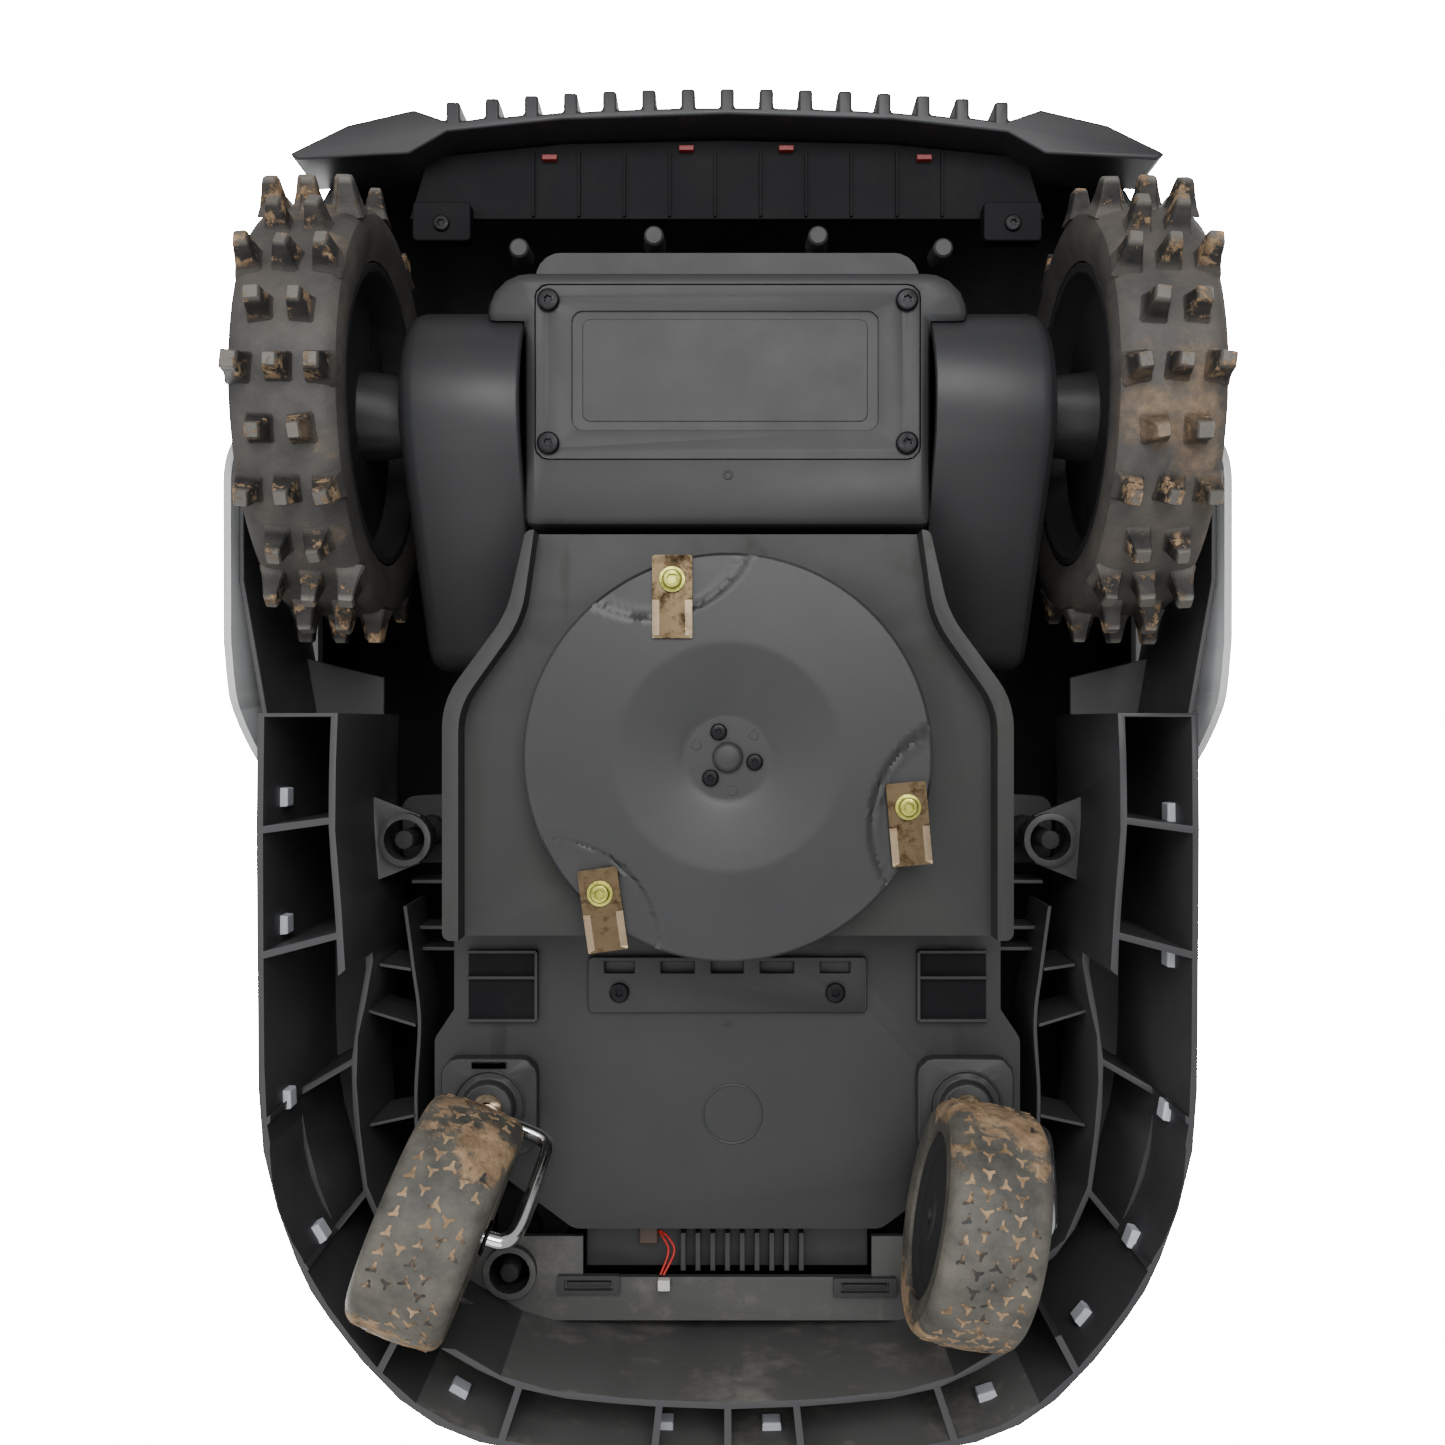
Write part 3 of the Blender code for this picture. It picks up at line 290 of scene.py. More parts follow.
STEEL = metal("dark_screw", (0.022, 0.022, 0.024), 0.36, spots=(0.05, 0.04, 0.03))
MOTOR = metal("motor_steel", (0.42, 0.42, 0.43), 0.36)
BLADE = metal("blade_bronze", (0.150, 0.108, 0.062), 0.34, spots=(0.070, 0.040, 0.020), spot_amount=0.75)
EDGE = metal("blade_edge", (0.34, 0.26, 0.17), 0.38, spots=(0.36, 0.24, 0.14), spot_amount=0.45)
ZINC = metal("yellow_zinc", (0.50, 0.49, 0.12), 0.24, spots=(0.26, 0.26, 0.07), spot_amount=0.6)


# ---- Mesh helpers ----

def finish_mesh(name, bm, paint, body, slot, replaced=(), bevel=0.0, segments=2, angle=32.0):
    """Turn a bmesh into a piece that rides on a body."""
    bmesh.ops.recalc_face_normals(bm, faces=bm.faces)
    mesh = bpy.data.meshes.new(name)
    bm.to_mesh(mesh)
    bm.free()
    return finish_piece(name, mesh, paint, body, replaced, bevel, segments, angle)


def finish_piece(name, mesh, paint, body, replaced=(), bevel=0.0, segments=2, angle=32.0):
    mesh.shade_smooth()
    mesh.set_sharp_from_angle(angle=math.radians(angle))
    for one in paint if isinstance(paint, (list, tuple)) else (paint,):
        mesh.materials.append(one)
    piece = bpy.data.objects.new(name, mesh)
    bpy.context.scene.collection.objects.link(piece)
    if bevel:
        soften = piece.modifiers.new("soft_edges", "BEVEL")
        soften.width = bevel
        soften.segments = segments
        soften.limit_method = "ANGLE"
        soften.angle_limit = math.radians(angle)
        soften.harden_normals = True
        mesh.shade_smooth()
        mesh.set_sharp_from_angle(angle=math.radians(89.0))
    if replaced:
        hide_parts(*replaced)
    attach(piece, body)
    return piece


def refined(node, paint, body, slot, bevel=0.0008, segments=2, angle=32.0):
    """A piece with a CAD node's own shape, its flat faces merged and its sharp edges softened."""
    bm = bmesh.new()
    bm.from_mesh(nodes[node].data)
    bmesh.ops.remove_doubles(bm, verts=bm.verts, dist=0.00001)
    bmesh.ops.dissolve_limit(bm, angle_limit=math.radians(0.6), verts=bm.verts, edges=bm.edges)
    return finish_mesh(f"{node}_fine", bm, paint, body, slot, (node,), bevel, segments, angle)


def add_turned(bm, profile, matrix, segments=48, material_index=0):
    """Turn (radius, height) points about the matrix's Z axis. Points on the axis become one vertex."""
    rings = []
    for radius, height in profile:
        count = segments if radius > 1e-6 else 1
        ring = []
        for i in range(count):
            turn = 2.0 * math.pi * i / segments
            point = Vector((radius * math.cos(turn), radius * math.sin(turn), height))
            ring.append(bm.verts.new(matrix @ point))
        rings.append(ring)
    pairs = list(zip(rings, rings[1:]))
    if profile[0][0] > 1e-6 and profile[-1][0] > 1e-6:
        pairs.append((rings[-1], rings[0]))
    for lower, upper in pairs:
        for i in range(segments):
            j = (i + 1) % segments
            corners = []
            below = (lower[i % len(lower)], lower[j % len(lower)])
            above = (upper[j % len(upper)], upper[i % len(upper)])
            for corner in below + above:
                if corner not in corners:
                    corners.append(corner)
            if len(corners) > 2:
                face = bm.faces.new(corners)
                face.material_index = material_index


def add_rings(bm, rings, close_ends=True):
    """Skin a list of rings with equal point counts, and cap both ends."""
    made = [[bm.verts.new(point) for point in ring] for ring in rings]
    for lower, upper in zip(made, made[1:]):
        for i in range(len(lower)):
            j = (i + 1) % len(lower)
            bm.faces.new((lower[i], lower[j], upper[j], upper[i]))
    if close_ends:
        bm.faces.new(made[0])
        bm.faces.new(made[-1])
    return made


def join_loops(bm, first, last):
    """Close a skin whose first and last rings face each other."""
    for i in range(len(first)):
        j = (i + 1) % len(first)
        bm.faces.new((first[i], first[j], last[j], last[i]))


def unit_circle(count):
    turns = [2.0 * math.pi * i / count for i in range(count)]
    return [(math.cos(turn), math.sin(turn)) for turn in turns]


def placed(spot, x_axis, y_axis, z_axis):
    """A frame at a spot, with these three axes."""
    return Matrix.Translation(spot) @ Matrix((x_axis, y_axis, z_axis)).transposed().to_4x4()


def block(x, y, half_x, half_y, radius=0.0, steps=5):
    """A rectangle round a middle point."""
    return rectangle(x - half_x, x + half_x, y - half_y, y + half_y, radius, steps)


def add_prism(bm, outline, low, high):
    add_rings(bm, [[Vector((x, y, low)) for x, y in outline], [Vector((x, y, high)) for x, y in outline]])


def rectangle(x0, x1, y0, y1, radius=0.0, steps=5):
    if radius <= 0.0:
        return [(x0, y0), (x1, y0), (x1, y1), (x0, y1)]
    points = []
    for cx, cy, start in ((x1 - radius, y1 - radius, 0), (x0 + radius, y1 - radius, 90),
                          (x0 + radius, y0 + radius, 180), (x1 - radius, y0 + radius, 270)):
        for step in range(steps + 1):
            turn = math.radians(start + 90.0 * step / steps)
            points.append((cx + radius * math.cos(turn), cy + radius * math.sin(turn)))
    return points


def upright(x, y, z, flip=False):
    """A frame whose Z axis points up, or down when flipped."""
    turn = Matrix.Rotation(math.pi, 4, "X") if flip else Matrix.Identity(4)
    return Matrix.Translation((x, y, z)) @ turn


# ---- Fasteners ----

def lobed(radius, lobes, depth, count):
    """A ring with lobes: a hexagon-like or star-shaped socket outline."""
    points = []
    for i in range(count):
        turn = 2.0 * math.pi * i / count
        r = radius - depth * (0.5 - 0.5 * math.cos(lobes * turn))
        points.append((r * math.cos(turn), r * math.sin(turn)))
    return points


def hexagon(radius, count, twist=0.0):
    points = []
    for i in range(count):
        turn = 2.0 * math.pi * i / count
        part = (turn + twist) % (math.pi / 3.0) - math.pi / 6.0
        r = radius * math.cos(math.pi / 6.0) / math.cos(part)
        points.append((r * math.cos(turn), r * math.sin(turn)))
    return points


def add_screw(bm, matrix, head_radius, head_height, socket, depth, shank=0.0, count=36):
    """A round head with a socket, its top towards the matrix's +Z, its seat at height 0."""
    circle = unit_circle(count)
    rings = []
    if shank:
        rings.append([(x * shank, y * shank, -0.004) for x, y in circle])
        rings.append([(x * shank, y * shank, 0.0) for x, y in circle])
    for radius, height in ((0.97, 0.0), (1.0, 0.10), (1.0, 0.62), (0.95, 0.84), (0.86, 0.96), (0.78, 1.0)):
        reach = radius * head_radius
        rings.append([(x * reach, y * reach, height * head_height) for x, y in circle])
    for scale, height in ((1.08, head_height), (1.0, head_height * 0.93), (0.97, head_height - depth)):
        rings.append([(x * scale, y * scale, height) for x, y in socket])
    add_rings(bm, [[matrix @ Vector(point) for point in ring] for ring in rings])


def build_fasteners():
    star = lobed(0.00165, 6, 0.00045, 36)
    groups = (("battery_cover_screw", 4, "chassis", 0.0043), ("access_plate_screw", 2, "chassis", 0.0040),
              ("hub_screw", 3, "blade_disc", 0.0031))
    for group, count, body, radius in groups:
        for number in range(1, count + 1):
            node = f"{group}_{number}"
            low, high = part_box(node)
            x, y = (low.x + high.x) / 2.0, (low.y + high.y) / 2.0
            bm = bmesh.new()
            scale = radius / 0.0043
            socket = [(a * scale, b * scale) for a, b in star]
            turn = Matrix.Rotation(0.7 * number, 4, "Z")
            height = 0.0018 if group != "hub_screw" else 0.0020
            add_screw(bm, upright(x, y, low.z + height, True) @ turn, radius, height, socket, height * 0.62)
            finish_mesh(f"{node}_head", bm, STEEL, body, "screw_steel", (node,))
    for number in (1, 2, 3):
        node = f"blade_bolt_{number}"
        low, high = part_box(node)
        x, y = (low.x + high.x) / 2.0, (low.y + high.y) / 2.0
        bm = bmesh.new()
        matrix = upright(x, y, low.z + 0.0030, True) @ Matrix.Rotation(0.9 * number, 4, "Z")
        circle = unit_circle(48)
        rings = [[(x_ * r, y_ * r, h) for x_, y_ in circle] for r, h in
                 ((0.0019, -0.0058), (0.0019, 0.0), (0.0047, 0.0), (0.0048, 0.0004), (0.0047, 0.0009),
                  (0.0037, 0.0010), (0.0036, 0.0014), (0.0035, 0.0024), (0.0031, 0.0029), (0.0026, 0.0030))]
        for scale, height in ((0.00205, 0.0030), (0.0019, 0.0028), (0.00185, 0.0012)):
            rings.append([(a, b, height) for a, b in hexagon(scale, 48)])
        add_rings(bm, [[matrix @ Vector(point) for point in ring] for ring in rings])
        finish_mesh(f"{node}_head", bm, ZINC, "blade_disc", "yellow_zinc", (node,))


# ---- Cutting unit ----

def blade_frame(number):
    """Where a blade's pivot is and which way the blade points, from its joint and its box."""
    pivot = Vector(joints[f"blade_{number}_swing"]["pos_m"])
    low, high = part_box(f"blade_{number}")
    middle = (low + high) / 2.0
    ahead = Vector((middle.x - pivot.x, middle.y - pivot.y, 0.0)).normalized()
    return pivot, ahead, low.z, high.z


def build_blades():
    """Flat blades: long bevelled cutting edges, bright where they are ground, clipped corners."""
    back, front, half, land = -0.0090, 0.0215, 0.00735, 0.0026
    for number in (1, 2, 3):
        pivot, ahead, low, high = blade_frame(number)
        across = Vector((-ahead.y, ahead.x, 0.0))
        bm = bmesh.new()
        stations = [back, back + 0.0006, -0.0045, 0.0065, 0.0074, front - 0.0012, front - 0.0004, front]
        rings = []
        for place in stations:
            clip = max(0.0, back + 0.0006 - place, place - (front - 0.0004)) * 1.1
            ground = 1.0 if 0.0070 < place < front - 0.0008 else 0.0
            lip = 0.00042 * ground
            wide = half - clip
            inner = wide - (land if ground else 0.0006)
            top = high - 0.00005
            section = [(-wide, low + lip), (-inner, low), (inner, low), (wide, low + lip), (wide, top),
                       (-wide, top)]
            rings.append([Vector((pivot.x, pivot.y, 0.0)) + ahead * place + across * side + Vector((0, 0, z))
                          for side, z in section])
        add_rings(bm, rings)
        for face in bm.faces:
            place = (face.calc_center_median() - Vector((pivot.x, pivot.y, 0.0))).dot(ahead)
            side = abs((face.calc_center_median() - Vector((pivot.x, pivot.y, 0.0))).dot(across))
            if place > 0.0072 and side > half - land * 0.8:
                face.material_index = 1
        finish_mesh(f"blade_{number}_plate", bm, (BLADE, EDGE), f"blade_{number}", "blade_steel",
                    (f"blade_{number}",), angle=20.0)


def build_disc():
    """The dished disc, with a shallow recess under each blade and small holes round the hub."""
    bm = bmesh.new()
    low, centre = DISC_LOW.z, DISC_CENTRE
    radii = [0.0056, 0.0105, 0.0150, 0.0162, 0.0175, 0.0195]
    radii += [0.0195 + (DISC_RADIUS - 0.0010 - 0.0195) * i / 44 for i in range(1, 45)]
    recesses = []
    for number in (1, 2, 3):
        pivot = Vector(joints[f"blade_{number}_swing"]["pos_m"])
        away = Vector((pivot.x, pivot.y - centre.y, 0.0)).normalized()
        recesses.append(Vector((0.0, centre.y, 0.0)) + away * 0.0960)
    count = 240

    def face_height(radius, x, y):
        dish = 0.0030 * (1.0 - min(1.0, max(0.0, (radius - 0.0162) / 0.0260)) ** 0.8)
        if radius <= 0.0162:
            dish = 0.0030
        drop = 0.0
        for spot in recesses:
            inside = 0.0410 - math.hypot(x - spot.x, y - spot.y)
            drop = max(drop, 0.0011 * min(1.0, max(0.0, inside / 0.0009)))
            groove = abs(inside - 0.0032)
            if groove < 0.0009 and inside > 0:
                drop -= 0.0004 * (1.0 - groove / 0.0009)
        return low + dish + drop

    rings = []
    for radius in radii:
        ring = []
        for i in range(count):
            turn = 2.0 * math.pi * i / count
            x, y = radius * math.cos(turn), centre.y + radius * math.sin(turn)
            ring.append((x, y, face_height(radius, x, y)))
        rings.append(ring)
    circle = unit_circle(count)
    for radius, height in ((DISC_RADIUS - 0.0003, low + 0.0004), (DISC_RADIUS, low + 0.0010),
                           (DISC_RADIUS, low + 0.0026), (DISC_RADIUS - 0.0006, low + 0.0030),
                           (0.0430, low + 0.0030), (0.0170, low + 0.0060)):
        rings.append([(x * radius, centre.y + y * radius, height) for x, y in circle])
    add_rings(bm, rings)
    finish_mesh("disc_shell", bm, DISC, "blade_disc", "dark_plastic", ("blade_disc",), angle=28.0)

    bm = bmesh.new()
    hub = ((0.0, -0.0004), (0.0038, -0.0004), (0.0048, 0.0000), (0.0055, 0.0008), (0.0057, 0.0030),
           (0.0, 0.0030))
    add_turned(bm, [(r, z) for r, z in hub], upright(0.0, centre.y, low), 48)
    finish_mesh("hub_cap", bm, CHASSIS, "blade_disc", "dark_plastic")
    for number, turn in enumerate((20.0, 140.0, 262.0), 1):
        bm = bmesh.new()
        ring = ((0.0006, -0.00015), (0.0017, -0.00015), (0.0019, 0.0), (0.0019, 0.0006), (0.0006, 0.0006))
        x = 0.0125 * math.cos(math.radians(turn))
        y = centre.y + 0.0125 * math.sin(math.radians(turn))
        add_turned(bm, ring, upright(x, y, low + 0.0030), 20)
        finish_mesh(f"hub_dimple_{number}", bm, CHASSIS, "blade_disc", "dark_plastic")


def build_guard():
    refined("deck_guard", GUARD, *ON_CHASSIS, 0.0024, 3, 40.0)
    refined("cutting_motor", MOTOR, "cutting_unit", "steel", 0.0008)


# ---- Wheels ----

def add_lug(bm, matrix, base_long, base_wide, top_long, top_wide, height, root):
    """A blunt pyramid on the tread. The matrix's Z points away from the axle, Y along the tread."""
    def ring(wide, long, z, drift=0.0):
        chamfer = 0.16
        corners = []
        for sx, sy in ((1, 1), (-1, 1), (-1, -1), (1, -1)):
            pair = [(sx * wide, sy * long * (1 - chamfer)), (sx * wide * (1 - chamfer), sy * long)]
            corners += pair if sx * sy > 0 else reversed(pair)
        return [matrix @ Vector((x / 2.0, y / 2.0 + drift, z)) for x, y in corners]

    levels = ((1.25, 1.20, -root), (1.12, 1.10, 0.0), (1.0, 1.0, height * 0.10))
    rings = [ring(base_wide * a, base_long * b, z) for a, b, z in levels]
    rings.append(ring(base_wide * 0.80, base_long * 0.78, height * 0.45))
    rings.append(ring(top_wide * 1.10, top_long * 1.10, height * 0.90))
    rings.append(ring(top_wide * 0.88, top_long * 0.88, height))
    add_rings(bm, rings)


def build_drive_wheel(label, side):
    """A hard rubber tyre with sixty blunt lugs, worn and caked with mud, round a dished rim."""
    random.seed(11 if side > 0 else 23)
    body = f"drive_wheel_{label}"
    joint = joints[f"{body}_turn"]
    centre = Vector((0.0, joint["pos_m"][1], joint["pos_m"][2]))
    low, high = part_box(f"drive_tyre_{label}")
    inner, outer = (low.x, high.x) if side > 0 else (-high.x, -low.x)
    width = outer - inner
    tread = 0.0800
    reach = (high.z - low.z) / 2.0
    frame_x = Matrix(((0, 0, side, 0), (1, 0, 0, 0), (0, 1, 0, 0), (0, 0, 0, 1)))
    turn_frame = Matrix.Translation(centre) @ frame_x
    bm = bmesh.new()
    profile = [(0.0600, inner + 0.0025), (0.0650, inner + 0.0008), (0.0690, inner), (0.0735, inner + 0.0002),
               (0.0772, inner + 0.0012), (0.0792, inner + 0.0034), (tread, inner + 0.0065)]
    for i in range(1, 8):
        share = i / 8.0
        crown = tread + 0.0008 * math.sin(math.pi * share)
        profile.append((crown, inner + 0.0065 + (width - 0.0130) * share))
    profile += [(tread, outer - 0.0065), (0.0792, outer - 0.0034), (0.0772, outer - 0.0012),
                (0.0735, outer - 0.0002), (0.0690, outer), (0.0650, outer - 0.0008), (0.0600, outer - 0.0025)]
    add_turned(bm, profile, turn_frame, 144)
    rows = 24
    for row in range(rows):
        turn = -math.pi / 2.0 + 2.0 * math.pi * row / rows
        places = (-0.0140, 0.0, 0.0140) if row % 2 == 0 else (-0.0072, 0.0072)
        for place in places:
            height = reach - tread - random.uniform(0.0, 0.0010)
            away = Vector((0.0, math.cos(turn), math.sin(turn)))
            along = Vector((0.0, -math.sin(turn), math.cos(turn)))
            spin = random.uniform(-0.16, 0.16)
            across = Vector((side, 0.0, 0.0))
            spun_x = across * math.cos(spin) + along * math.sin(spin)
            spun_y = along * math.cos(spin) - across * math.sin(spin)
            spot = centre + away * tread + across * (inner + width / 2.0 + place)
            matrix = placed(spot, spun_x, spun_y, away)
            add_lug(bm, matrix, random.uniform(0.0092, 0.0106), random.uniform(0.0082, 0.0094),
                    random.uniform(0.0046, 0.0060), random.uniform(0.0042, 0.0056), height, 0.0020)
    paint = lugged_rubber(f"drive_rubber_{label}", tuple(centre), (1.0, 0.0, 0.0), 0.6 if side > 0 else 0.45)
    finish_mesh(f"{body}_tread", bm, paint, body, "tyre_rubber", (f"drive_tyre_{label}",), angle=30.0)
    refined(f"drive_rim_{label}", HOUSING, body, "dark_plastic", 0.0010, 2)
    refined(f"drive_axle_{label}", MOTOR, body, "steel", 0.0005, 2)


def build_housing(label):
    refined(f"drive_housing_{label}", HOUSING, *ON_CHASSIS, 0.0020, 3, 25.0)
    refined(f"drive_motor_{label}", MOTOR, "chassis", "steel", 0.0006, 2)


# ---- Casters ----

def smooth_route(points, steps=8):
    """A Catmull-Rom line through the points."""
    ends = [points[0]] + list(points) + [points[-1]]
    line = []
    for i in range(1, len(ends) - 2):
        p0, p1, p2, p3 = ends[i - 1], ends[i], ends[i + 1], ends[i + 2]
        for step in range(steps):
            t = step / steps
            bend = 2.0 * p1 + (p2 - p0) * t + (2.0 * p0 - 5.0 * p1 + 4.0 * p2 - p3) * t * t
            line.append((bend + (3.0 * p1 - p0 - 3.0 * p2 + p3) * t ** 3) / 2.0)
    line.append(points[-1])
    return line


def tube(name, route, radius, paint, body, replaced=(), resolution=6):
    line = bpy.data.curves.new(name, "CURVE")
    line.dimensions = "3D"
    line.bevel_depth = radius
    line.bevel_resolution = resolution
    line.use_fill_caps = True
    line.materials.append(paint)
    spline = line.splines.new("POLY")
    spline.points.add(len(route) - 1)
    for point, place in zip(spline.points, route):
        point.co = (*place, 1.0)
    piece = bpy.data.objects.new(name, line)
    bpy.context.scene.collection.objects.link(piece)
    if replaced:
        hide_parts(*replaced)
    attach(piece, body)
    return piece


def caster_profile(half, radius):
    """Half of a rounded tyre section, from one bead to the other."""
    profile = [(0.0300, 0.0010 - half), (0.0320, 0.0003 - half), (0.0350, -half), (0.0378, 0.0004 - half)]
    shoulder = 0.0056
    for step in range(1, 7):
        turn = math.radians(90.0 * step / 6)
        profile.append((radius - 0.0010 - shoulder * (1.0 - math.sin(turn)),
                        shoulder * (1.0 - math.cos(turn)) - half))
    for share in (0.35, 0.65, 0.85):
        profile.append((radius - 0.0010 + 0.0010 * math.sin(share * math.pi / 2.0), shoulder - half
                        + (half - shoulder) * share))
    middle = [(radius, 0.0)]
    return profile + middle + [(r, -z) for r, z in reversed(profile)]


def add_star(bm, matrix, radius, arm, wide, lift):
    """A three-armed plug in the tread, bent round the tyre. The matrix's X is the axle, and Z points out."""
    outline = []
    for k in range(3):
        turn = math.pi / 2.0 + 2.0 * math.pi * k / 3.0
        course, beside = (math.cos(turn), math.sin(turn)), (-math.sin(turn), math.cos(turn))
        for reach, side in ((0.28, -1.0), (1.0, -0.75), (1.0, 0.75)):
            outline.append((course[0] * arm * reach + beside[0] * wide * side / 2.0,
                            course[1] * arm * reach + beside[1] * wide * side / 2.0))
    rings = []
    for height in (-0.0006, lift):
        ring = []
        for x, y in outline:
            bend = y / radius
            out = (radius + height) * math.cos(bend) - radius
            ring.append(matrix @ Vector((x, (radius + height) * math.sin(bend), out)))
        rings.append(ring)
    add_rings(bm, rings)


def build_caster(label, side):
    random.seed(5 if side > 0 else 9)
    swivel, wheel = f"caster_swivel_{label}", f"caster_wheel_{label}"
    stem = Vector(joints[f"caster_{label}_swivel"]["pos_m"])
    roll = joints[f"caster_{label}_roll"]
    centre, axle = Vector(roll["pos_m"]), Vector(roll["axis"]).normalized()
    beside = -axle
    ahead = Vector((centre.x - stem.x, centre.y - stem.y, 0.0)).normalized()
    trail = math.hypot(centre.x - stem.x, centre.y - stem.y)
    axle_height = centre.z
    ground = Vector((stem.x, stem.y, 0.0))
    low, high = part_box(f"caster_tyre_{label}")
    radius = (high.z - low.z) / 2.0
    half = 0.0185

    # The rod's centre line: how far ahead of the stem, how far beside it, and how high.
    route = [(0.0, 0.0, 0.1235), (0.0, 0.0, 0.1000), (0.0, 0.0, 0.0900), (0.0, 0.0008, 0.0858),
             (0.0, 0.0042, 0.0828), (0.0, 0.0120, 0.0812), (0.0, 0.0210, 0.0806), (0.0006, 0.0262, 0.0792),
             (0.0022, 0.0287, 0.0758), (0.0080, 0.0292, 0.0688), (0.0170, 0.0294, 0.0582),
             (0.0235, 0.0292, 0.0506), (0.0272, 0.0282, 0.0464), (0.0292, 0.0256, 0.0442),
             (trail, 0.0205, axle_height), (trail, 0.0, axle_height), (trail, -0.0140, axle_height)]
    points = [ground + ahead * a + beside * b + Vector((0.0, 0.0, z)) for a, b, z in route]
    tube(f"caster_rod_{label}", smooth_route(points), 0.0030, CHROME, swivel,
         (f"caster_fork_{label}",))

    bm = bmesh.new()
    collar = ((0.0032, 0.0868), (0.0056, 0.0868), (0.0062, 0.0874), (0.0062, 0.0882), (0.0032, 0.0882))
    add_turned(bm, collar, upright(stem.x, stem.y, 0.0), 36)
    finish_mesh(f"stem_collar_{label}", bm, BRASS, swivel, "chrome")
    bm = bmesh.new()
    washer = ((0.0032, -0.0006), (0.0062, -0.0006), (0.0066, 0.0), (0.0066, 0.0008), (0.0032, 0.0008))
    face = placed(centre + beside * (half + 0.0006), ahead, Vector((0.0, 0.0, 1.0)), beside)
    add_turned(bm, washer, face, 36)
    finish_mesh(f"axle_washer_{label}", bm, STEEL, swivel, "screw_steel")

    wheel_frame = placed(centre, ahead, Vector((0.0, 0.0, 1.0)), axle)
    bm = bmesh.new()
    add_turned(bm, caster_profile(half, radius), wheel_frame, 128)
    amount = 0.7 if side > 0 else 0.5
    paint = fine_rubber(f"caster_rubber_{label}", tuple(centre), tuple(ahead), amount)
    finish_mesh(f"caster_tread_{label}", bm, paint, wheel, "tyre_rubber", (f"caster_tyre_{label}",))

    bm = bmesh.new()
    inner = half - 0.0022
    hub = [(0.0036, -inner), (0.0090, -inner - 0.0008), (0.0100, -inner), (0.0240, -inner + 0.0016),
           (0.0268, -inner), (0.0294, -inner), (0.0299, -inner + 0.0010)]
    hub += [(r, -z) for r, z in reversed(hub)]
    add_turned(bm, hub, wheel_frame, 72)
    finish_mesh(f"caster_hub_{label}", bm, CHASSIS, wheel, "black_plastic", (f"caster_rim_{label}",))

    # Three-armed sipes, most of them packed with mud and the open ones dark with painted shade, and two thin
    # grooves near the shoulders in the same painted shade and mud.
    shade_and_mud = sipe_shade_and_mud(f"sipe_shade_and_mud_{label}", tuple(centre), tuple(ahead), amount)
    bm = bmesh.new()
    rows, columns = 40, (-0.0116, -0.0058, 0.0, 0.0058, 0.0116)
    for row in range(rows):
        for k, column in enumerate(columns):
            if random.random() < 0.16:
                continue
            turn = 2.0 * math.pi * (row + 0.5 * (k % 2)) / rows
            crown = radius - 0.0010 * min(1.0, abs(column) / 0.0129) ** 2.2
            away = ahead * math.cos(turn) + Vector((0.0, 0.0, math.sin(turn)))
            along = Vector((0.0, 0.0, math.cos(turn))) - ahead * math.sin(turn)
            flip = 1.0 if k % 2 else -1.0
            spot = centre + away * crown + axle * column
            matrix = placed(spot, axle * flip, along * flip, away)
            size = random.uniform(0.0022, 0.0031)
            add_star(bm, matrix, crown, size, random.uniform(0.0008, 0.0012), 0.00006)
    finish_mesh(f"caster_sipes_{label}", bm, shade_and_mud, wheel, "tyre_rubber")
    for number, column in enumerate((-0.0137, 0.0137), 1):
        bm = bmesh.new()
        groove = radius - 0.00135
        line = ((groove - 0.0006, column - 0.0003), (groove, column - 0.0003), (groove, column + 0.0003),
                (groove - 0.0006, column + 0.0003))
        add_turned(bm, line, wheel_frame, 96)
        finish_mesh(f"caster_groove_{label}_{number}", bm, shade_and_mud, wheel, "tyre_rubber")


# ---- Chassis and battery bay ----

def raised_ring(name, x, y, z, radius, wide, height, paint, body, slot):
    """A low moulded ring on a face that looks down."""
    bm = bmesh.new()
    profile = ((radius - wide, 0.0005), (radius - wide, -height * 0.6), (radius - wide * 0.6, -height),
               (radius - wide * 0.4, -height), (radius, -height * 0.6), (radius, 0.0005))
    add_turned(bm, profile, upright(x, y, z), 64)
    return finish_mesh(name, bm, paint, body, slot)


def slab(name, outline, low, high, paint, body, slot, bevel=0.0006, segments=2):
    bm = bmesh.new()
    add_prism(bm, outline, low, high)
    return finish_mesh(name, bm, paint, body, slot, (), bevel, segments)


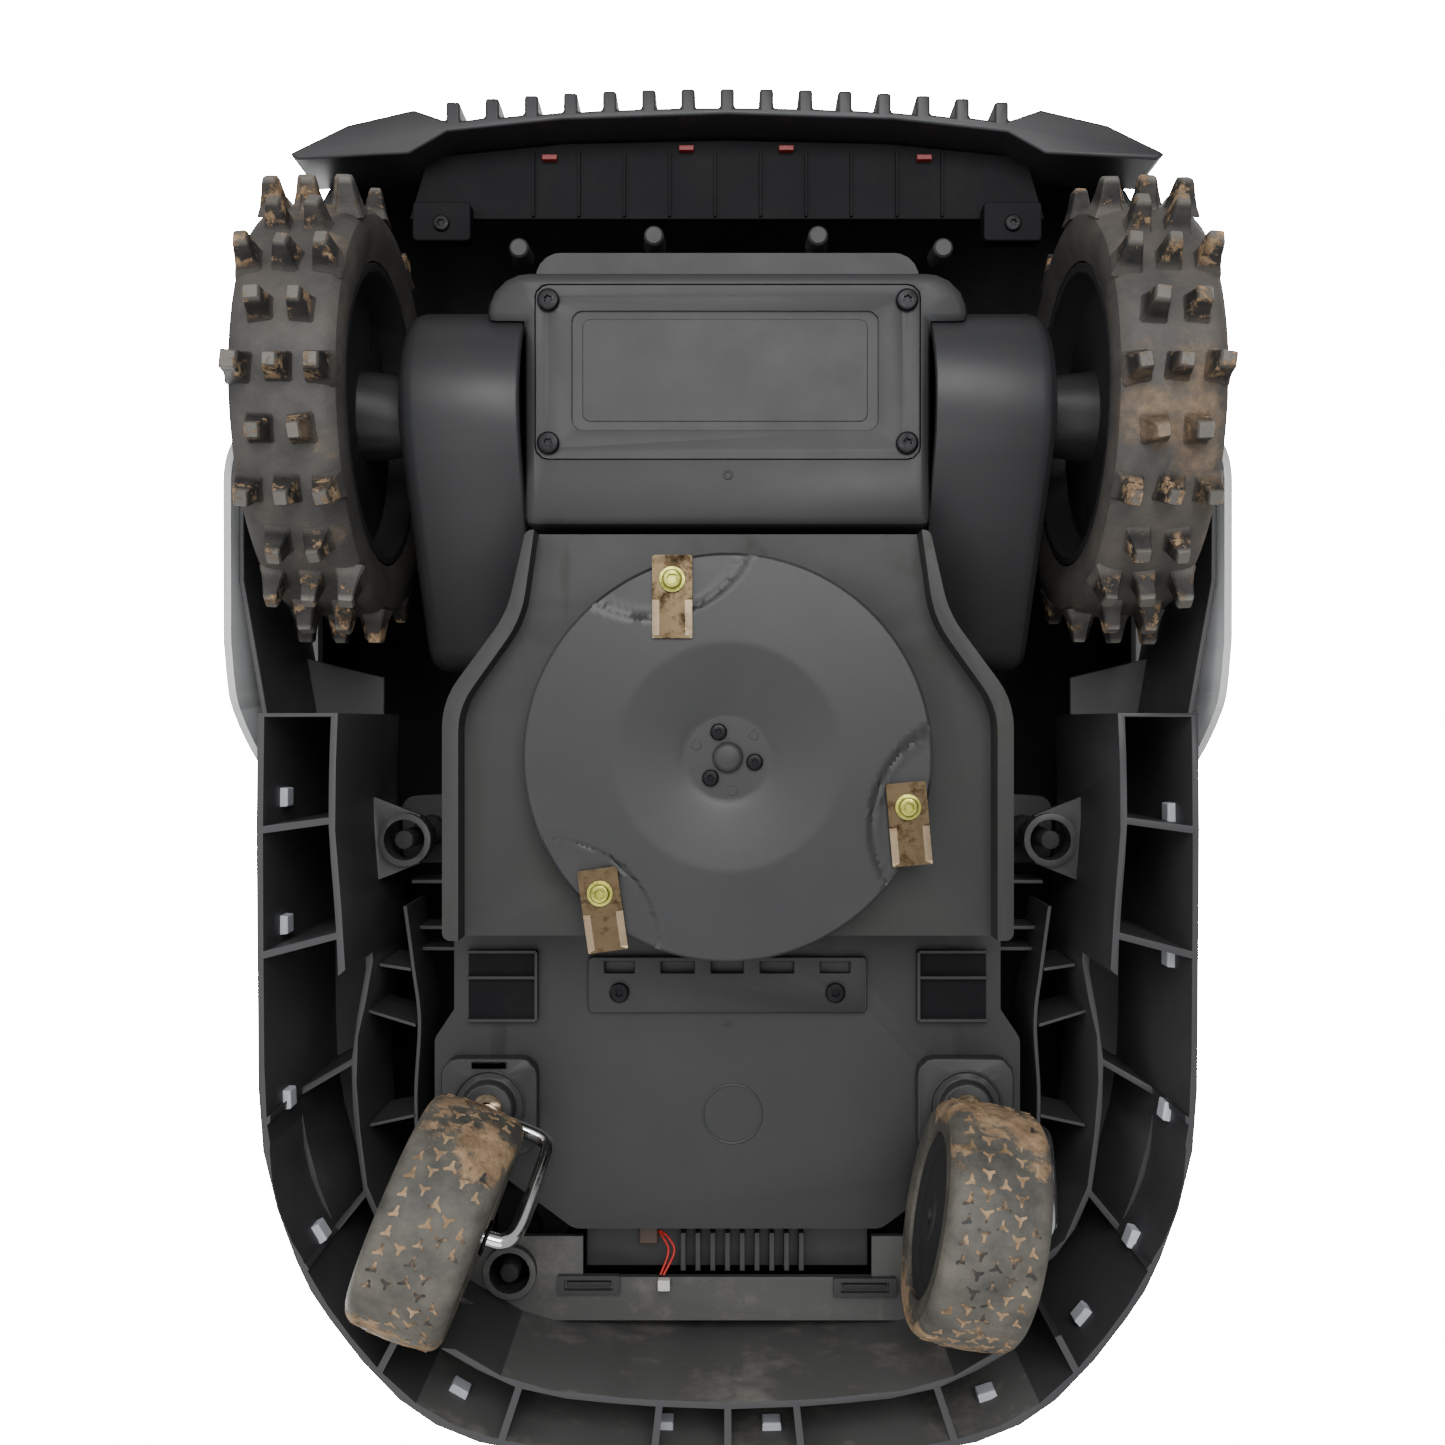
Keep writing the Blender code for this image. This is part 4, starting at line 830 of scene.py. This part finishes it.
def build_chassis():
    refined("chassis_pan", CHASSIS, *ON_CHASSIS, 0.0016, 3, 40.0)
    refined("chassis_lid", CHASSIS, *ON_CHASSIS, 0.0010, 2, 40.0)
    refined("battery_bay", CHASSIS, *ON_CHASSIS, 0.0012, 2, 40.0)
    refined("battery_cover", CHASSIS, *ON_CHASSIS, 0.0006, 2, 40.0)
    refined("access_plate", CHASSIS, *ON_CHASSIS, 0.0006, 2, 40.0)
    floor = PAN_LOW.z
    raised_ring("mould_ring", -0.002, -0.155, floor, 0.0125, 0.0010, 0.0005, CHASSIS, *ON_CHASSIS)
    raised_ring("mould_pin_front", 0.0, -0.118, floor, 0.0016, 0.0008, 0.0004, CHASSIS, *ON_CHASSIS)
    raised_ring("mould_pin_rear", 0.0, 0.1010, COVER_LOW.z, 0.0020, 0.0010, 0.0005, CHASSIS, *ON_CHASSIS)
    # A shallow generic frame in the middle of the cover's panel.
    face = COVER_LOW.z + 0.0010
    outer = rectangle(-0.0105, 0.0105, 0.1345, 0.1465, 0.0015)
    inner = rectangle(-0.0095, 0.0095, 0.1355, 0.1455, 0.0010)
    bm = bmesh.new()
    buried, raised = face + 0.0004, face - 0.0003
    rings = [[Vector((x, y, z)) for x, y in line] for line, z in
             ((outer, buried), (outer, raised), (inner, raised), (inner, buried))]
    made = add_rings(bm, rings, close_ends=False)
    join_loops(bm, made[0], made[3])
    finish_mesh("cover_frame", bm, CHASSIS, *ON_CHASSIS)
    # Raised tongue inside the cover's panel.
    slab("cover_tongue", rectangle(-0.0540, 0.0560, 0.1215, 0.1610, 0.0030), face - 0.0004, face + 0.0006,
         CHASSIS, *ON_CHASSIS, 0.0004)
    # A ledge on each side with a cross rib, and the slot in each caster's mount.
    ledge_front, ledge_rear, thin = -0.1160, -0.0880, 0.0007
    for label, side in SIDES:
        x0, x1 = sorted((side * 0.0780, side * 0.1060))
        # Each ledge's floor is a near-black sheet, painted shade for the recess.
        slab(f"ledge_shade_floor_{label}", rectangle(x0, x1, ledge_front, ledge_rear), floor - 0.0004,
             floor + 0.0005, SHADE, *ON_CHASSIS, 0.0001)
        for number, y in enumerate((ledge_rear, -0.0985, ledge_front), 1):
            slab(f"ledge_rib_{label}_{number}", rectangle(x0, x1, y - thin, y + thin), floor - 0.0040,
                 floor + 0.0005, CHASSIS, *ON_CHASSIS, 0.0003)
        wall_x = side * 0.0780
        slab(f"ledge_wall_{label}", rectangle(wall_x - thin, wall_x + thin, ledge_front, ledge_rear),
             floor - 0.0040, floor + 0.0005, CHASSIS, *ON_CHASSIS, 0.0003)
        slot_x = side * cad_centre(f"caster_mount_{label}").x
        slab(f"mount_slot_{label}", rectangle(slot_x - 0.0070, slot_x + 0.0070, -0.1345, -0.1318), 0.0915,
             0.0930, SHELL, *ON_CHASSIS, 0.0003)
        refined(f"caster_mount_{label}", CHASSIS, *ON_CHASSIS, 0.0008, 2, 40.0)
        refined_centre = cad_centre(f"caster_mount_{label}")
        raised_ring(f"mount_ring_{label}", refined_centre.x, refined_centre.y, 0.0925, 0.0150, 0.0012, 0.0008,
                    CHASSIS, *ON_CHASSIS)
    boss = ((0.0, 0.0960), (0.0032, 0.0960), (0.0040, 0.0968), (0.0046, 0.1100), (0.0, 0.1100))
    spots = ((-0.088, 0.1990), (-0.037, 0.2040), (0.030, 0.2040), (0.085, 0.1990))
    for number, (x, y) in enumerate(spots, 1):
        bm = bmesh.new()
        add_turned(bm, boss, upright(x, y, 0.0), 28)
        finish_mesh(f"rear_boss_{number}", bm, CHASSIS, *ON_CHASSIS)


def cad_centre(node):
    low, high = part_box(node)
    return (low + high) / 2.0


def build_inside():
    """What stands inside the casing, seen only through gaps."""
    refined("control_board", BOARD, "chassis", "board", 0.0003)
    refined("battery_pack", SHELL, "chassis", "black_plastic", 0.0015)
    refined("magnet_sensor", BROWN, "chassis", "black_plastic", 0.0008)
    refined("sensor_plug", WHITE, "chassis", "white_plastic", 0.0004)
    for number in range(1, 5):
        refined(f"float_post_{number}", RUBBER, "chassis", "soft_rubber", 0.0006)
    low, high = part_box("sensor_lead")
    middle = (low + high) / 2.0
    start = Vector((high.x - 0.0005, high.y - 0.0010, high.z - 0.0010))
    end = Vector((high.x - 0.0020, low.y + 0.0005, low.z + 0.0010))
    for number, shift in enumerate((-0.0006, 0.0006), 1):
        way = [start, Vector((middle.x + shift, start.y - 0.0025, start.z - 0.0020)),
               Vector((low.x + 0.0012 + shift, middle.y, middle.z)), end]
        way = [point + Vector((shift, 0.0, shift * 0.5)) for point in way]
        replaced = ("sensor_lead",) if number == 1 else ()
        tube(f"lead_wire_{number}", smooth_route(way, 6), 0.0005, WIRE, "chassis", replaced, 3)


# ---- Floating shell ----

def ray_target(node):
    """A search tree over a CAD node's faces, to place small pieces on its walls."""
    mesh = nodes[node].data
    corners = [vertex.co.copy() for vertex in mesh.vertices]
    return BVHTree.FromPolygons(corners, [tuple(face.vertices) for face in mesh.polygons])


def wall_spot(walls, start, away):
    """Where a ray from a pocket meets its outer wall. A start inside a rib moves aside until it is clear."""
    beside = Vector((-away.y, away.x, 0.0))
    for shift in (0.0, 0.005, -0.005, 0.010, -0.010, 0.015, -0.015, 0.020, -0.020):
        hit, normal, _, _ = walls.ray_cast(start + beside * shift, away)
        skin = walls.ray_cast(start + beside * shift + away * 0.2, -away)[0]
        if hit is not None and normal.dot(away) < -0.6 and 0.0018 < (skin - hit).dot(away) < 0.0080:
            return hit, Vector((normal.x, normal.y, 0.0)).normalized()
    raise ValueError("a snap tab finds no wall")


def build_bumper():
    bumper = refined("front_bumper", (SHELL, SHELL_IN_PAINTED_LIGHT, SHELF), *ON_SHELL, 0.0009, 2, 40.0)
    walls = ray_target("front_bumper")
    shelf_rear, shelf_half = -0.205, 0.118
    for face in bumper.data.polygons:
        middle, normal = face.center, face.normal
        clear = walls.ray_cast(middle + normal * 0.0008, normal)[0] is None
        outside = clear and abs(normal.z) < 0.5 and normal.xy.dot(middle.xy) > 0.0
        # Faces not open to the outside take the lighter inside colour, painted light for the shaded cavities.
        face.material_index = 0 if outside else 1
        inward = normal.y > 0.5 and middle.y < -0.235
        under = normal.z < -0.5 and middle.z > 0.09 and middle.y > -0.246
        if abs(middle.x) < shelf_half and middle.y < shelf_rear and (inward or under):
            face.material_index = 2

    # Pale snap tabs on the inside of the outer wall.
    spots = ((0.160, -0.0236), (0.160, -0.0733), (0.158, -0.1413), (0.148, -0.1790), (0.134, -0.2110),
             (0.099, -0.2430), (0.0237, -0.2580), (-0.0163, -0.2580), (-0.096, -0.2460), (-0.131, -0.2150),
             (-0.148, -0.1810), (-0.158, -0.1460), (-0.160, -0.0811), (-0.160, -0.0295))
    for number, (x, y) in enumerate(spots, 1):
        away = Vector((math.copysign(1.0, x), 0.0, 0.0))
        if abs(y) > 0.2:
            away = Vector((x, y * 0.85, 0.0)).normalized()
        hit, inward = wall_spot(walls, Vector((x, y, 0.0740)), away)
        beside = Vector((-inward.y, inward.x, 0.0))
        bm = bmesh.new()
        rings = []
        for depth, long, low, high in ((-0.0004, 0.0038, 0.0700, 0.0785), (0.0024, 0.0036, 0.0702, 0.0783),
                                       (0.0029, 0.0033, 0.0706, 0.0777)):
            corners = [(-long, low), (long, low), (long, high), (-long, high)]
            rings.append([Vector((hit.x, hit.y, 0.0)) + inward * depth + beside * a + Vector((0, 0, z))
                          for a, z in corners])
        add_rings(bm, rings)
        finish_mesh(f"snap_tab_{number}", bm, TAB, "shell", "silver_plastic", (), 0.0003)

    # Comb of ribs and two clip frames behind the front wall.
    for number in range(9):
        x = 0.0185 - 0.0062 * number
        slab(f"comb_rib_{number + 1}", rectangle(x - 0.0011, x + 0.0011, -0.2245, -0.2085), 0.1130, 0.1230,
             SHELL_IN_PAINTED_LIGHT, *ON_SHELL, 0.0003)
    slab("comb_back", rectangle(-0.0600, 0.0600, -0.2260, -0.2080), 0.1225, 0.1250, SHELL_IN_PAINTED_LIGHT, *ON_SHELL)
    frame_low, frame_high = 0.1055, 0.1085
    for label, x, y in (("left", 0.0575, -0.2275), ("right", -0.0570, -0.2285)):
        bm = bmesh.new()
        outer = block(x, y, 0.0130, 0.0038, 0.0006, 2)
        inner = block(x, y, 0.0100, 0.0022, 0.0004, 2)
        rings = [[Vector((a, b, z)) for a, b in line] for line, z in
                 ((outer, frame_high), (outer, frame_low), (inner, frame_low), (inner, frame_high))]
        made = add_rings(bm, rings, close_ends=False)
        join_loops(bm, made[0], made[3])
        finish_mesh(f"clip_frame_{label}", bm, SHELL_IN_PAINTED_LIGHT, *ON_SHELL)
        slab(f"clip_bar_{label}", block(x, y, 0.0090, 0.0010), 0.1062, 0.1082, CHASSIS, *ON_SHELL, 0.0003)


def build_skirt(label, side):
    """Thin walls and ribs that stiffen the shell between the channel and the chassis."""
    line = [Vector((side * x, y, 0.0)) for x, y in
            ((0.1335, -0.0700), (0.1300, -0.0960), (0.1275, -0.1180), (0.1290, -0.1500), (0.1265, -0.1800),
             (0.1150, -0.2040))]
    route = smooth_route(line, 5)
    wall_line = [(p.x, p.y) for p in route] + [(p.x - side * 0.0016, p.y) for p in reversed(route)]
    slab(f"skirt_wall_{label}", wall_line, 0.1020, 0.1380, SHELL_IN_PAINTED_LIGHT, *ON_SHELL, 0.0003)
    thin = 0.0007
    ribs = ((0.1300, 0.1430, -0.0960, -0.0940), (0.1280, 0.1475, -0.1190, -0.1130),
            (0.1285, 0.1470, -0.1560, -0.1600))
    for number, (near, far, y0, y1) in enumerate(ribs, 1):
        rib_line = [(side * near, y0 - thin), (side * far, y1 - thin), (side * far, y1 + thin),
                    (side * near, y0 + thin)]
        slab(f"skirt_rib_{label}_{number}", rib_line, 0.1010, 0.1360, SHELL_IN_PAINTED_LIGHT, *ON_SHELL, 0.0003)
    x0, x1 = sorted((side * 0.1145, side * 0.1340))
    for number, y in enumerate((-0.0620, -0.0815, -0.0905), 1):
        slab(f"side_rib_{label}_{number}", rectangle(x0, x1, y - 0.0008, y + 0.0008), 0.1200, 0.1400,
             SHELL_IN_PAINTED_LIGHT, *ON_SHELL, 0.0003)


def build_arch(label, side):
    """Dark inner wall and step between the bumper's end and the silver panel."""
    line = [(side * x, y) for x, y in
            ((0.1768, 0.0085), (0.1790, 0.0085), (0.1880, 0.0600), (0.1880, 0.1000), (0.1860, 0.1000),
             (0.1858, 0.0600))]
    slab(f"arch_wall_{label}", line, 0.0640, 0.1480, SHELL_IN_PAINTED_LIGHT, *ON_SHELL)
    step = [(side * x, y) for x, y in
            ((0.1480, 0.0080), (0.1785, 0.0080), (0.1850, 0.0340), (0.1480, 0.0250))]
    slab(f"arch_roof_{label}", step, 0.1300, 0.1325, SHELL_IN_PAINTED_LIGHT, *ON_SHELL)


def build_rear():
    refined("rear_grille", SHELL, *ON_SHELL, 0.0012, 3, 40.0)
    wall = GRILLE_HIGH.y - 0.0120
    tray = [(0.1380, 0.2240), (0.1300, wall - 0.0095), (0.0700, wall - 0.0035), (0.0, wall - 0.0020),
            (-0.0700, wall - 0.0035), (-0.1300, wall - 0.0095), (-0.1380, 0.2240)]
    # The tray, its ribs and the lugs beside it take the near-black SHADE colour: painted shade for the dark
    # space at the rear of the casing.
    slab("rear_tray", tray, 0.1340, 0.1365, SHADE, *ON_SHELL)
    for number in range(10):
        x = 0.0840 - 0.0197 * number
        slab(f"rear_rib_{number + 1}", rectangle(x - 0.0006, x + 0.0006, 0.2250, 0.2530), 0.1325, 0.1345,
             SHADE, *ON_SHELL, 0.0002)
    clips = ((0.0768, 0.2500), (0.0176, 0.2540), (-0.0256, 0.2540), (-0.0853, 0.2500))
    for number, (x, y) in enumerate(clips, 1):
        slab(f"rear_clip_{number}", block(x, y, 0.0032, 0.0011), 0.1310, 0.1345, RED_CLIP, "shell",
             "red_plastic", 0.0003)
    star = lobed(0.0015, 6, 0.0004, 36)
    for label, side in SIDES:
        x = side * 0.1225
        slab(f"rear_lug_{label}", rectangle(x - 0.0125, x + 0.0125, 0.2120, 0.2290, 0.0020), 0.1260, 0.1345,
             SHADE, *ON_SHELL, 0.0008)
        bm = bmesh.new()
        add_screw(bm, upright(x, 0.2195, 0.1262, True), 0.0036, 0.0016, star, 0.0010)
        finish_mesh(f"rear_lug_screw_{label}", bm, STEEL, "shell", "screw_steel")


def build_side_panels():
    for label, _ in SIDES:
        refined(f"side_panel_{label}", SILVER, "shell", "silver_plastic", 0.0014, 3, 40.0)


def closed_curve(points, steps):
    """A closed Catmull-Rom line through the points."""
    line = []
    count = len(points)
    for i in range(count):
        p0, p1, p2, p3 = (points[(i + k) % count] for k in (-1, 0, 1, 2))
        for step in range(steps):
            t = step / steps
            bend = 2.0 * p1 + (p2 - p0) * t + (2.0 * p0 - 5.0 * p1 + 4.0 * p2 - p3) * t * t
            line.append((bend + (3.0 * p1 - p0 - 3.0 * p2 + p3) * t ** 3) / 2.0)
    return line


def cover_base():
    """The outer line of the top cover's lower edge, read from the frame."""
    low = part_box("top_cover")[0].z
    reach = {}
    for vertex in nodes["top_cover"].data.vertices:
        if vertex.co.z < low + 0.0002:
            key = round(math.atan2(vertex.co.y, vertex.co.x), 3)
            if key not in reach or vertex.co.xy.length > reach[key].length:
                reach[key] = vertex.co.xy.copy()
    return [reach[key] for key in sorted(reach)]


def add_cutter(bm, spot, radius, count):
    """Add an upright cylinder, to cut a round hole through the crown."""
    low, high = 0.250, 0.280
    outline = ((0.0, low), (radius, low), (radius, high), (0.0, high))
    add_turned(bm, outline, upright(spot.x, spot.y, 0), count)


def build_top():
    """The domed cover as one smooth shell, with a flat crown where the controls sit."""
    levels = [Vector(p) for p in
              ((1.0, 0.1500), (0.997, 0.1700), (0.988, 0.1900), (0.962, 0.2090), (0.920, 0.2250),
               (0.860, 0.2390), (0.780, 0.2500), (0.670, 0.2578), (0.560, 0.2618))]
    curve = smooth_route(levels, 4)
    line = closed_curve(cover_base(), 3)
    bm = bmesh.new()
    rings = [[Vector((p.x * s, p.y * s, z)) for p in line] for s, z in curve]
    rings.append([Vector((p.x * 0.545, p.y * 0.545, 0.2620)) for p in line])
    rings.append([Vector((p.x * 0.545, p.y * 0.545, 0.2590)) for p in line])
    rings += [[Vector((p.x * (s - 0.022), p.y * (s - 0.022), z - (0.003 if z > 0.155 else 0.0)))
               for p in line] for s, z in reversed(curve)]
    made = add_rings(bm, rings[:len(curve) + 1], close_ends=False)
    bm.faces.new(made[-1])
    inner = add_rings(bm, rings[len(curve) + 1:], close_ends=False)
    bm.faces.new(inner[0])
    join_loops(bm, made[0], inner[-1])
    cover = finish_mesh("cover_shell", bm, SHELL, *ON_SHELL, ("top_cover",), angle=50.0)
    stop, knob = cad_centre("stop_button"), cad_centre("height_knob")
    window_low, window_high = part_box("display_window")
    bm = bmesh.new()
    for spot, radius in ((stop, 0.0268), (knob, 0.0315)):
        add_cutter(bm, spot, radius, 64)
    for number in (1, 2):
        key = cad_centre(f"keypad_button_{number}")
        add_cutter(bm, key, 0.0068, 32)
    add_prism(bm, rectangle(window_low.x - 0.0004, window_high.x + 0.0004, window_low.y - 0.0004,
                            window_high.y + 0.0004, 0.0032), 0.250, 0.280)
    bmesh.ops.recalc_face_normals(bm, faces=bm.faces)
    mesh = bpy.data.meshes.new("crown_holes")
    bm.to_mesh(mesh)
    bm.free()
    cutter = bpy.data.objects.new("crown_holes", mesh)
    bpy.context.scene.collection.objects.link(cutter)
    cut = cover.modifiers.new("crown_holes", "BOOLEAN")
    cut.object = cutter
    cut.operation = "DIFFERENCE"
    cut.solver = "EXACT"
    bpy.context.view_layer.update()
    graph = bpy.context.evaluated_depsgraph_get()
    holed = bpy.data.meshes.new_from_object(cover.evaluated_get(graph))
    cover.modifiers.clear()
    cover.data = holed
    bpy.data.objects.remove(cutter)

    # A raised rim round the controls, as the edge of a hatch.
    bm = bmesh.new()
    outer = closed_curve([Vector(p) for p in rectangle(-0.0560, 0.0560, -0.0060, 0.1370, 0.0240, 3)], 3)
    middle = Vector((0.0, 0.0655))
    rings = []
    for scale, height in ((1.0, 0.2612), (1.0, 0.2628), (0.985, 0.2634), (0.965, 0.2634), (0.950, 0.2628),
                          (0.950, 0.2612)):
        rings.append([Vector((middle.x + (p.x - middle.x) * scale,
                              middle.y + (p.y - middle.y) * scale, height))
                      for p in outer])
    made = add_rings(bm, rings, close_ends=False)
    join_loops(bm, made[0], made[-1])
    finish_mesh("hatch_rim", bm, SHELL_IN_PAINTED_LIGHT, *ON_SHELL)


def build_controls():
    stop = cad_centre("stop_button")
    low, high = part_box("stop_button")
    radius = (high.x - low.x) / 2.0
    top = high.z
    bm = bmesh.new()
    profile = ((0.0, low.z), (radius, low.z), (radius, top - 0.0045), (radius - 0.0006, top - 0.0026),
               (radius - 0.0022, top - 0.0012), (radius - 0.0050, top - 0.0004), (radius - 0.0090, top),
               (0.0105, top - 0.0006), (0.0060, top - 0.0012), (0.0, top - 0.0014))
    add_turned(bm, profile, upright(stop.x, stop.y, 0.0), 96)
    finish_mesh("stop_cap", bm, RED, "stop_button", "red_plastic", ("stop_button",), angle=40.0)

    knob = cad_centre("height_knob")
    low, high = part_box("height_knob")
    bm = bmesh.new()
    count = 120
    circle = [2.0 * math.pi * i / count for i in range(count)]
    rings = []
    outline = ((0.0040, low.z, 0.0), (0.0040, 0.2480, 0.0), (0.0262, 0.2502, 0.0), (0.0270, 0.2512, 1.0),
               (0.0270, 0.2612, 1.0), (0.0266, 0.2628, 0.7), (0.0252, 0.2638, 0.0), (0.0238, 0.2640, 0.0),
               (0.0225, 0.2632, 0.0))
    for r, z, flute in outline:
        ring = []
        for turn in circle:
            reach = r - flute * 0.0007 * (0.5 + 0.5 * math.cos(30.0 * turn)) ** 2
            ring.append(Vector((knob.x + reach * math.cos(turn), knob.y + reach * math.sin(turn), z)))
        rings.append(ring)
    add_rings(bm, rings)
    finish_mesh("knob_body", bm, HOUSING, "height_knob", "dark_plastic", ("height_knob",), angle=40.0)
    slab("knob_bar", block(knob.x, knob.y, 0.0042, 0.0215, 0.0040), 0.2615,
         high.z - 0.0002, HOUSING, "height_knob", "dark_plastic", 0.0012, 3)
    mark = rectangle(knob.x - 0.0006, knob.x + 0.0006, knob.y + 0.0120, knob.y + 0.0200)
    slab("knob_mark", mark, high.z - 0.0008,
         high.z - 0.0001, WHITE, "height_knob", "white_plastic", 0.0001)
    for number in range(10):
        turn = math.radians(90.0 + 27.0 * (number - 4.5))
        x, y = knob.x + 0.0345 * math.cos(turn), knob.y + 0.0345 * math.sin(turn)
        bm = bmesh.new()
        dot = ((0.0, 0.2616), (0.0009, 0.2616), (0.0009, 0.2622), (0.0, 0.2623))
        add_turned(bm, dot, upright(x, y, 0.0), 16)
        finish_mesh(f"height_dot_{number + 1}", bm, WHITE, "shell", "white_plastic")
    refined("display_window", GLASS, "shell", "display", 0.0006, 2)
    for number in (1, 2):
        refined(f"keypad_button_{number}", GREY, f"keypad_button_{number}", "grey_plastic", 0.0008, 3)


# ---- Stage and camera ----

def build_stage():
    """A pale floor that shows only from above, and broad soft lights above and below."""
    bpy.ops.mesh.primitive_plane_add(size=9.0, location=(0.0, 0.0, -0.0004))
    floor = bpy.context.active_object
    floor.name = "floor"
    paint, tree, shader = new_material("floor_pale", (0.80, 0.80, 0.79), 0.70)
    patches = ramp(tree, noise(tree, 3.0, 3.0), 0.3, 0.7)
    shade = mix_colour(tree, patches, (0.78, 0.78, 0.775), (0.82, 0.82, 0.81))
    tree.links.new(shade, shader.inputs["Base Color"])
    side = tree.nodes.new("ShaderNodeNewGeometry")
    clear = tree.nodes.new("ShaderNodeBsdfTransparent")
    both = tree.nodes.new("ShaderNodeMixShader")
    output = next(node for node in tree.nodes if node.type == "OUTPUT_MATERIAL")
    tree.links.new(side.outputs["Backfacing"], both.inputs["Fac"])
    tree.links.new(shader.outputs["BSDF"], both.inputs[1])
    tree.links.new(clear.outputs["BSDF"], both.inputs[2])
    tree.links.new(both.outputs["Shader"], output.inputs["Surface"])
    floor.data.materials.append(paint)
    floor.visible_shadow = False
    floor.visible_diffuse = False
    floor.visible_glossy = False

    world = bpy.data.worlds.new("studio")
    bpy.context.scene.world = world
    world.use_nodes = True
    tree = world.node_tree
    background = tree.nodes["Background"]
    background.inputs["Color"].default_value = (1.0, 1.0, 1.0, 1.0)
    seen = tree.nodes.new("ShaderNodeLightPath")
    strength = tree.nodes.new("ShaderNodeMapRange")
    strength.inputs["To Min"].default_value = 0.42
    strength.inputs["To Max"].default_value = 40.0
    tree.links.new(seen.outputs["Is Camera Ray"], strength.inputs["Value"])
    tree.links.new(strength.outputs["Result"], background.inputs["Strength"])

    lamps = (("under_rear", (-0.08, 0.58, -1.25), 0.8, 15.0), ("under_front", (0.20, -0.90, -1.20), 1.3, 7.0),
             ("under_left", (1.20, 0.35, -1.10), 1.3, 9.0), ("above_key", (1.3, -1.4, 2.2), 1.6, 60.0),
             ("above_fill", (-1.6, 0.9, 1.9), 1.8, 36.0))
    for name, place, size, power in lamps:
        lamp = bpy.data.lights.new(name, "AREA")
        lamp.size = size
        lamp.energy = power
        holder = bpy.data.objects.new(name, lamp)
        bpy.context.scene.collection.objects.link(holder)
        holder.location = place
        holder.rotation_euler = (Vector((0.0, 0.0, 0.1)) - Vector(place)).to_track_quat("-Z", "Y").to_euler()


def build_camera():
    """Straight below the middle of the machine, looking up, with the rear at the top of the picture."""
    data = bpy.data.cameras.new("camera")
    data.sensor_width = 36.0
    data.lens = 34.88
    camera = bpy.data.objects.new("camera", data)
    bpy.context.scene.collection.objects.link(camera)
    facing = Matrix(((-1.0, 0.0, 0.0), (0.0, 1.0, 0.0), (0.0, 0.0, -1.0))).to_4x4()
    camera.matrix_world = Matrix.Translation((0.0020, 0.0055, -0.4740)) @ facing
    data.clip_start = 0.01
    bpy.context.scene.camera = camera


build_camera()
build_stage()
build_fasteners()
build_blades()
build_disc()
build_guard()
for label, side in SIDES:
    build_drive_wheel(label, side)
    build_housing(label)
    build_caster(label, side)
build_chassis()
build_inside()
build_bumper()
for label, side in SIDES:
    build_skirt(label, side)
for label, side in SIDES:
    build_arch(label, side)
build_rear()
build_side_panels()
build_top()
build_controls()
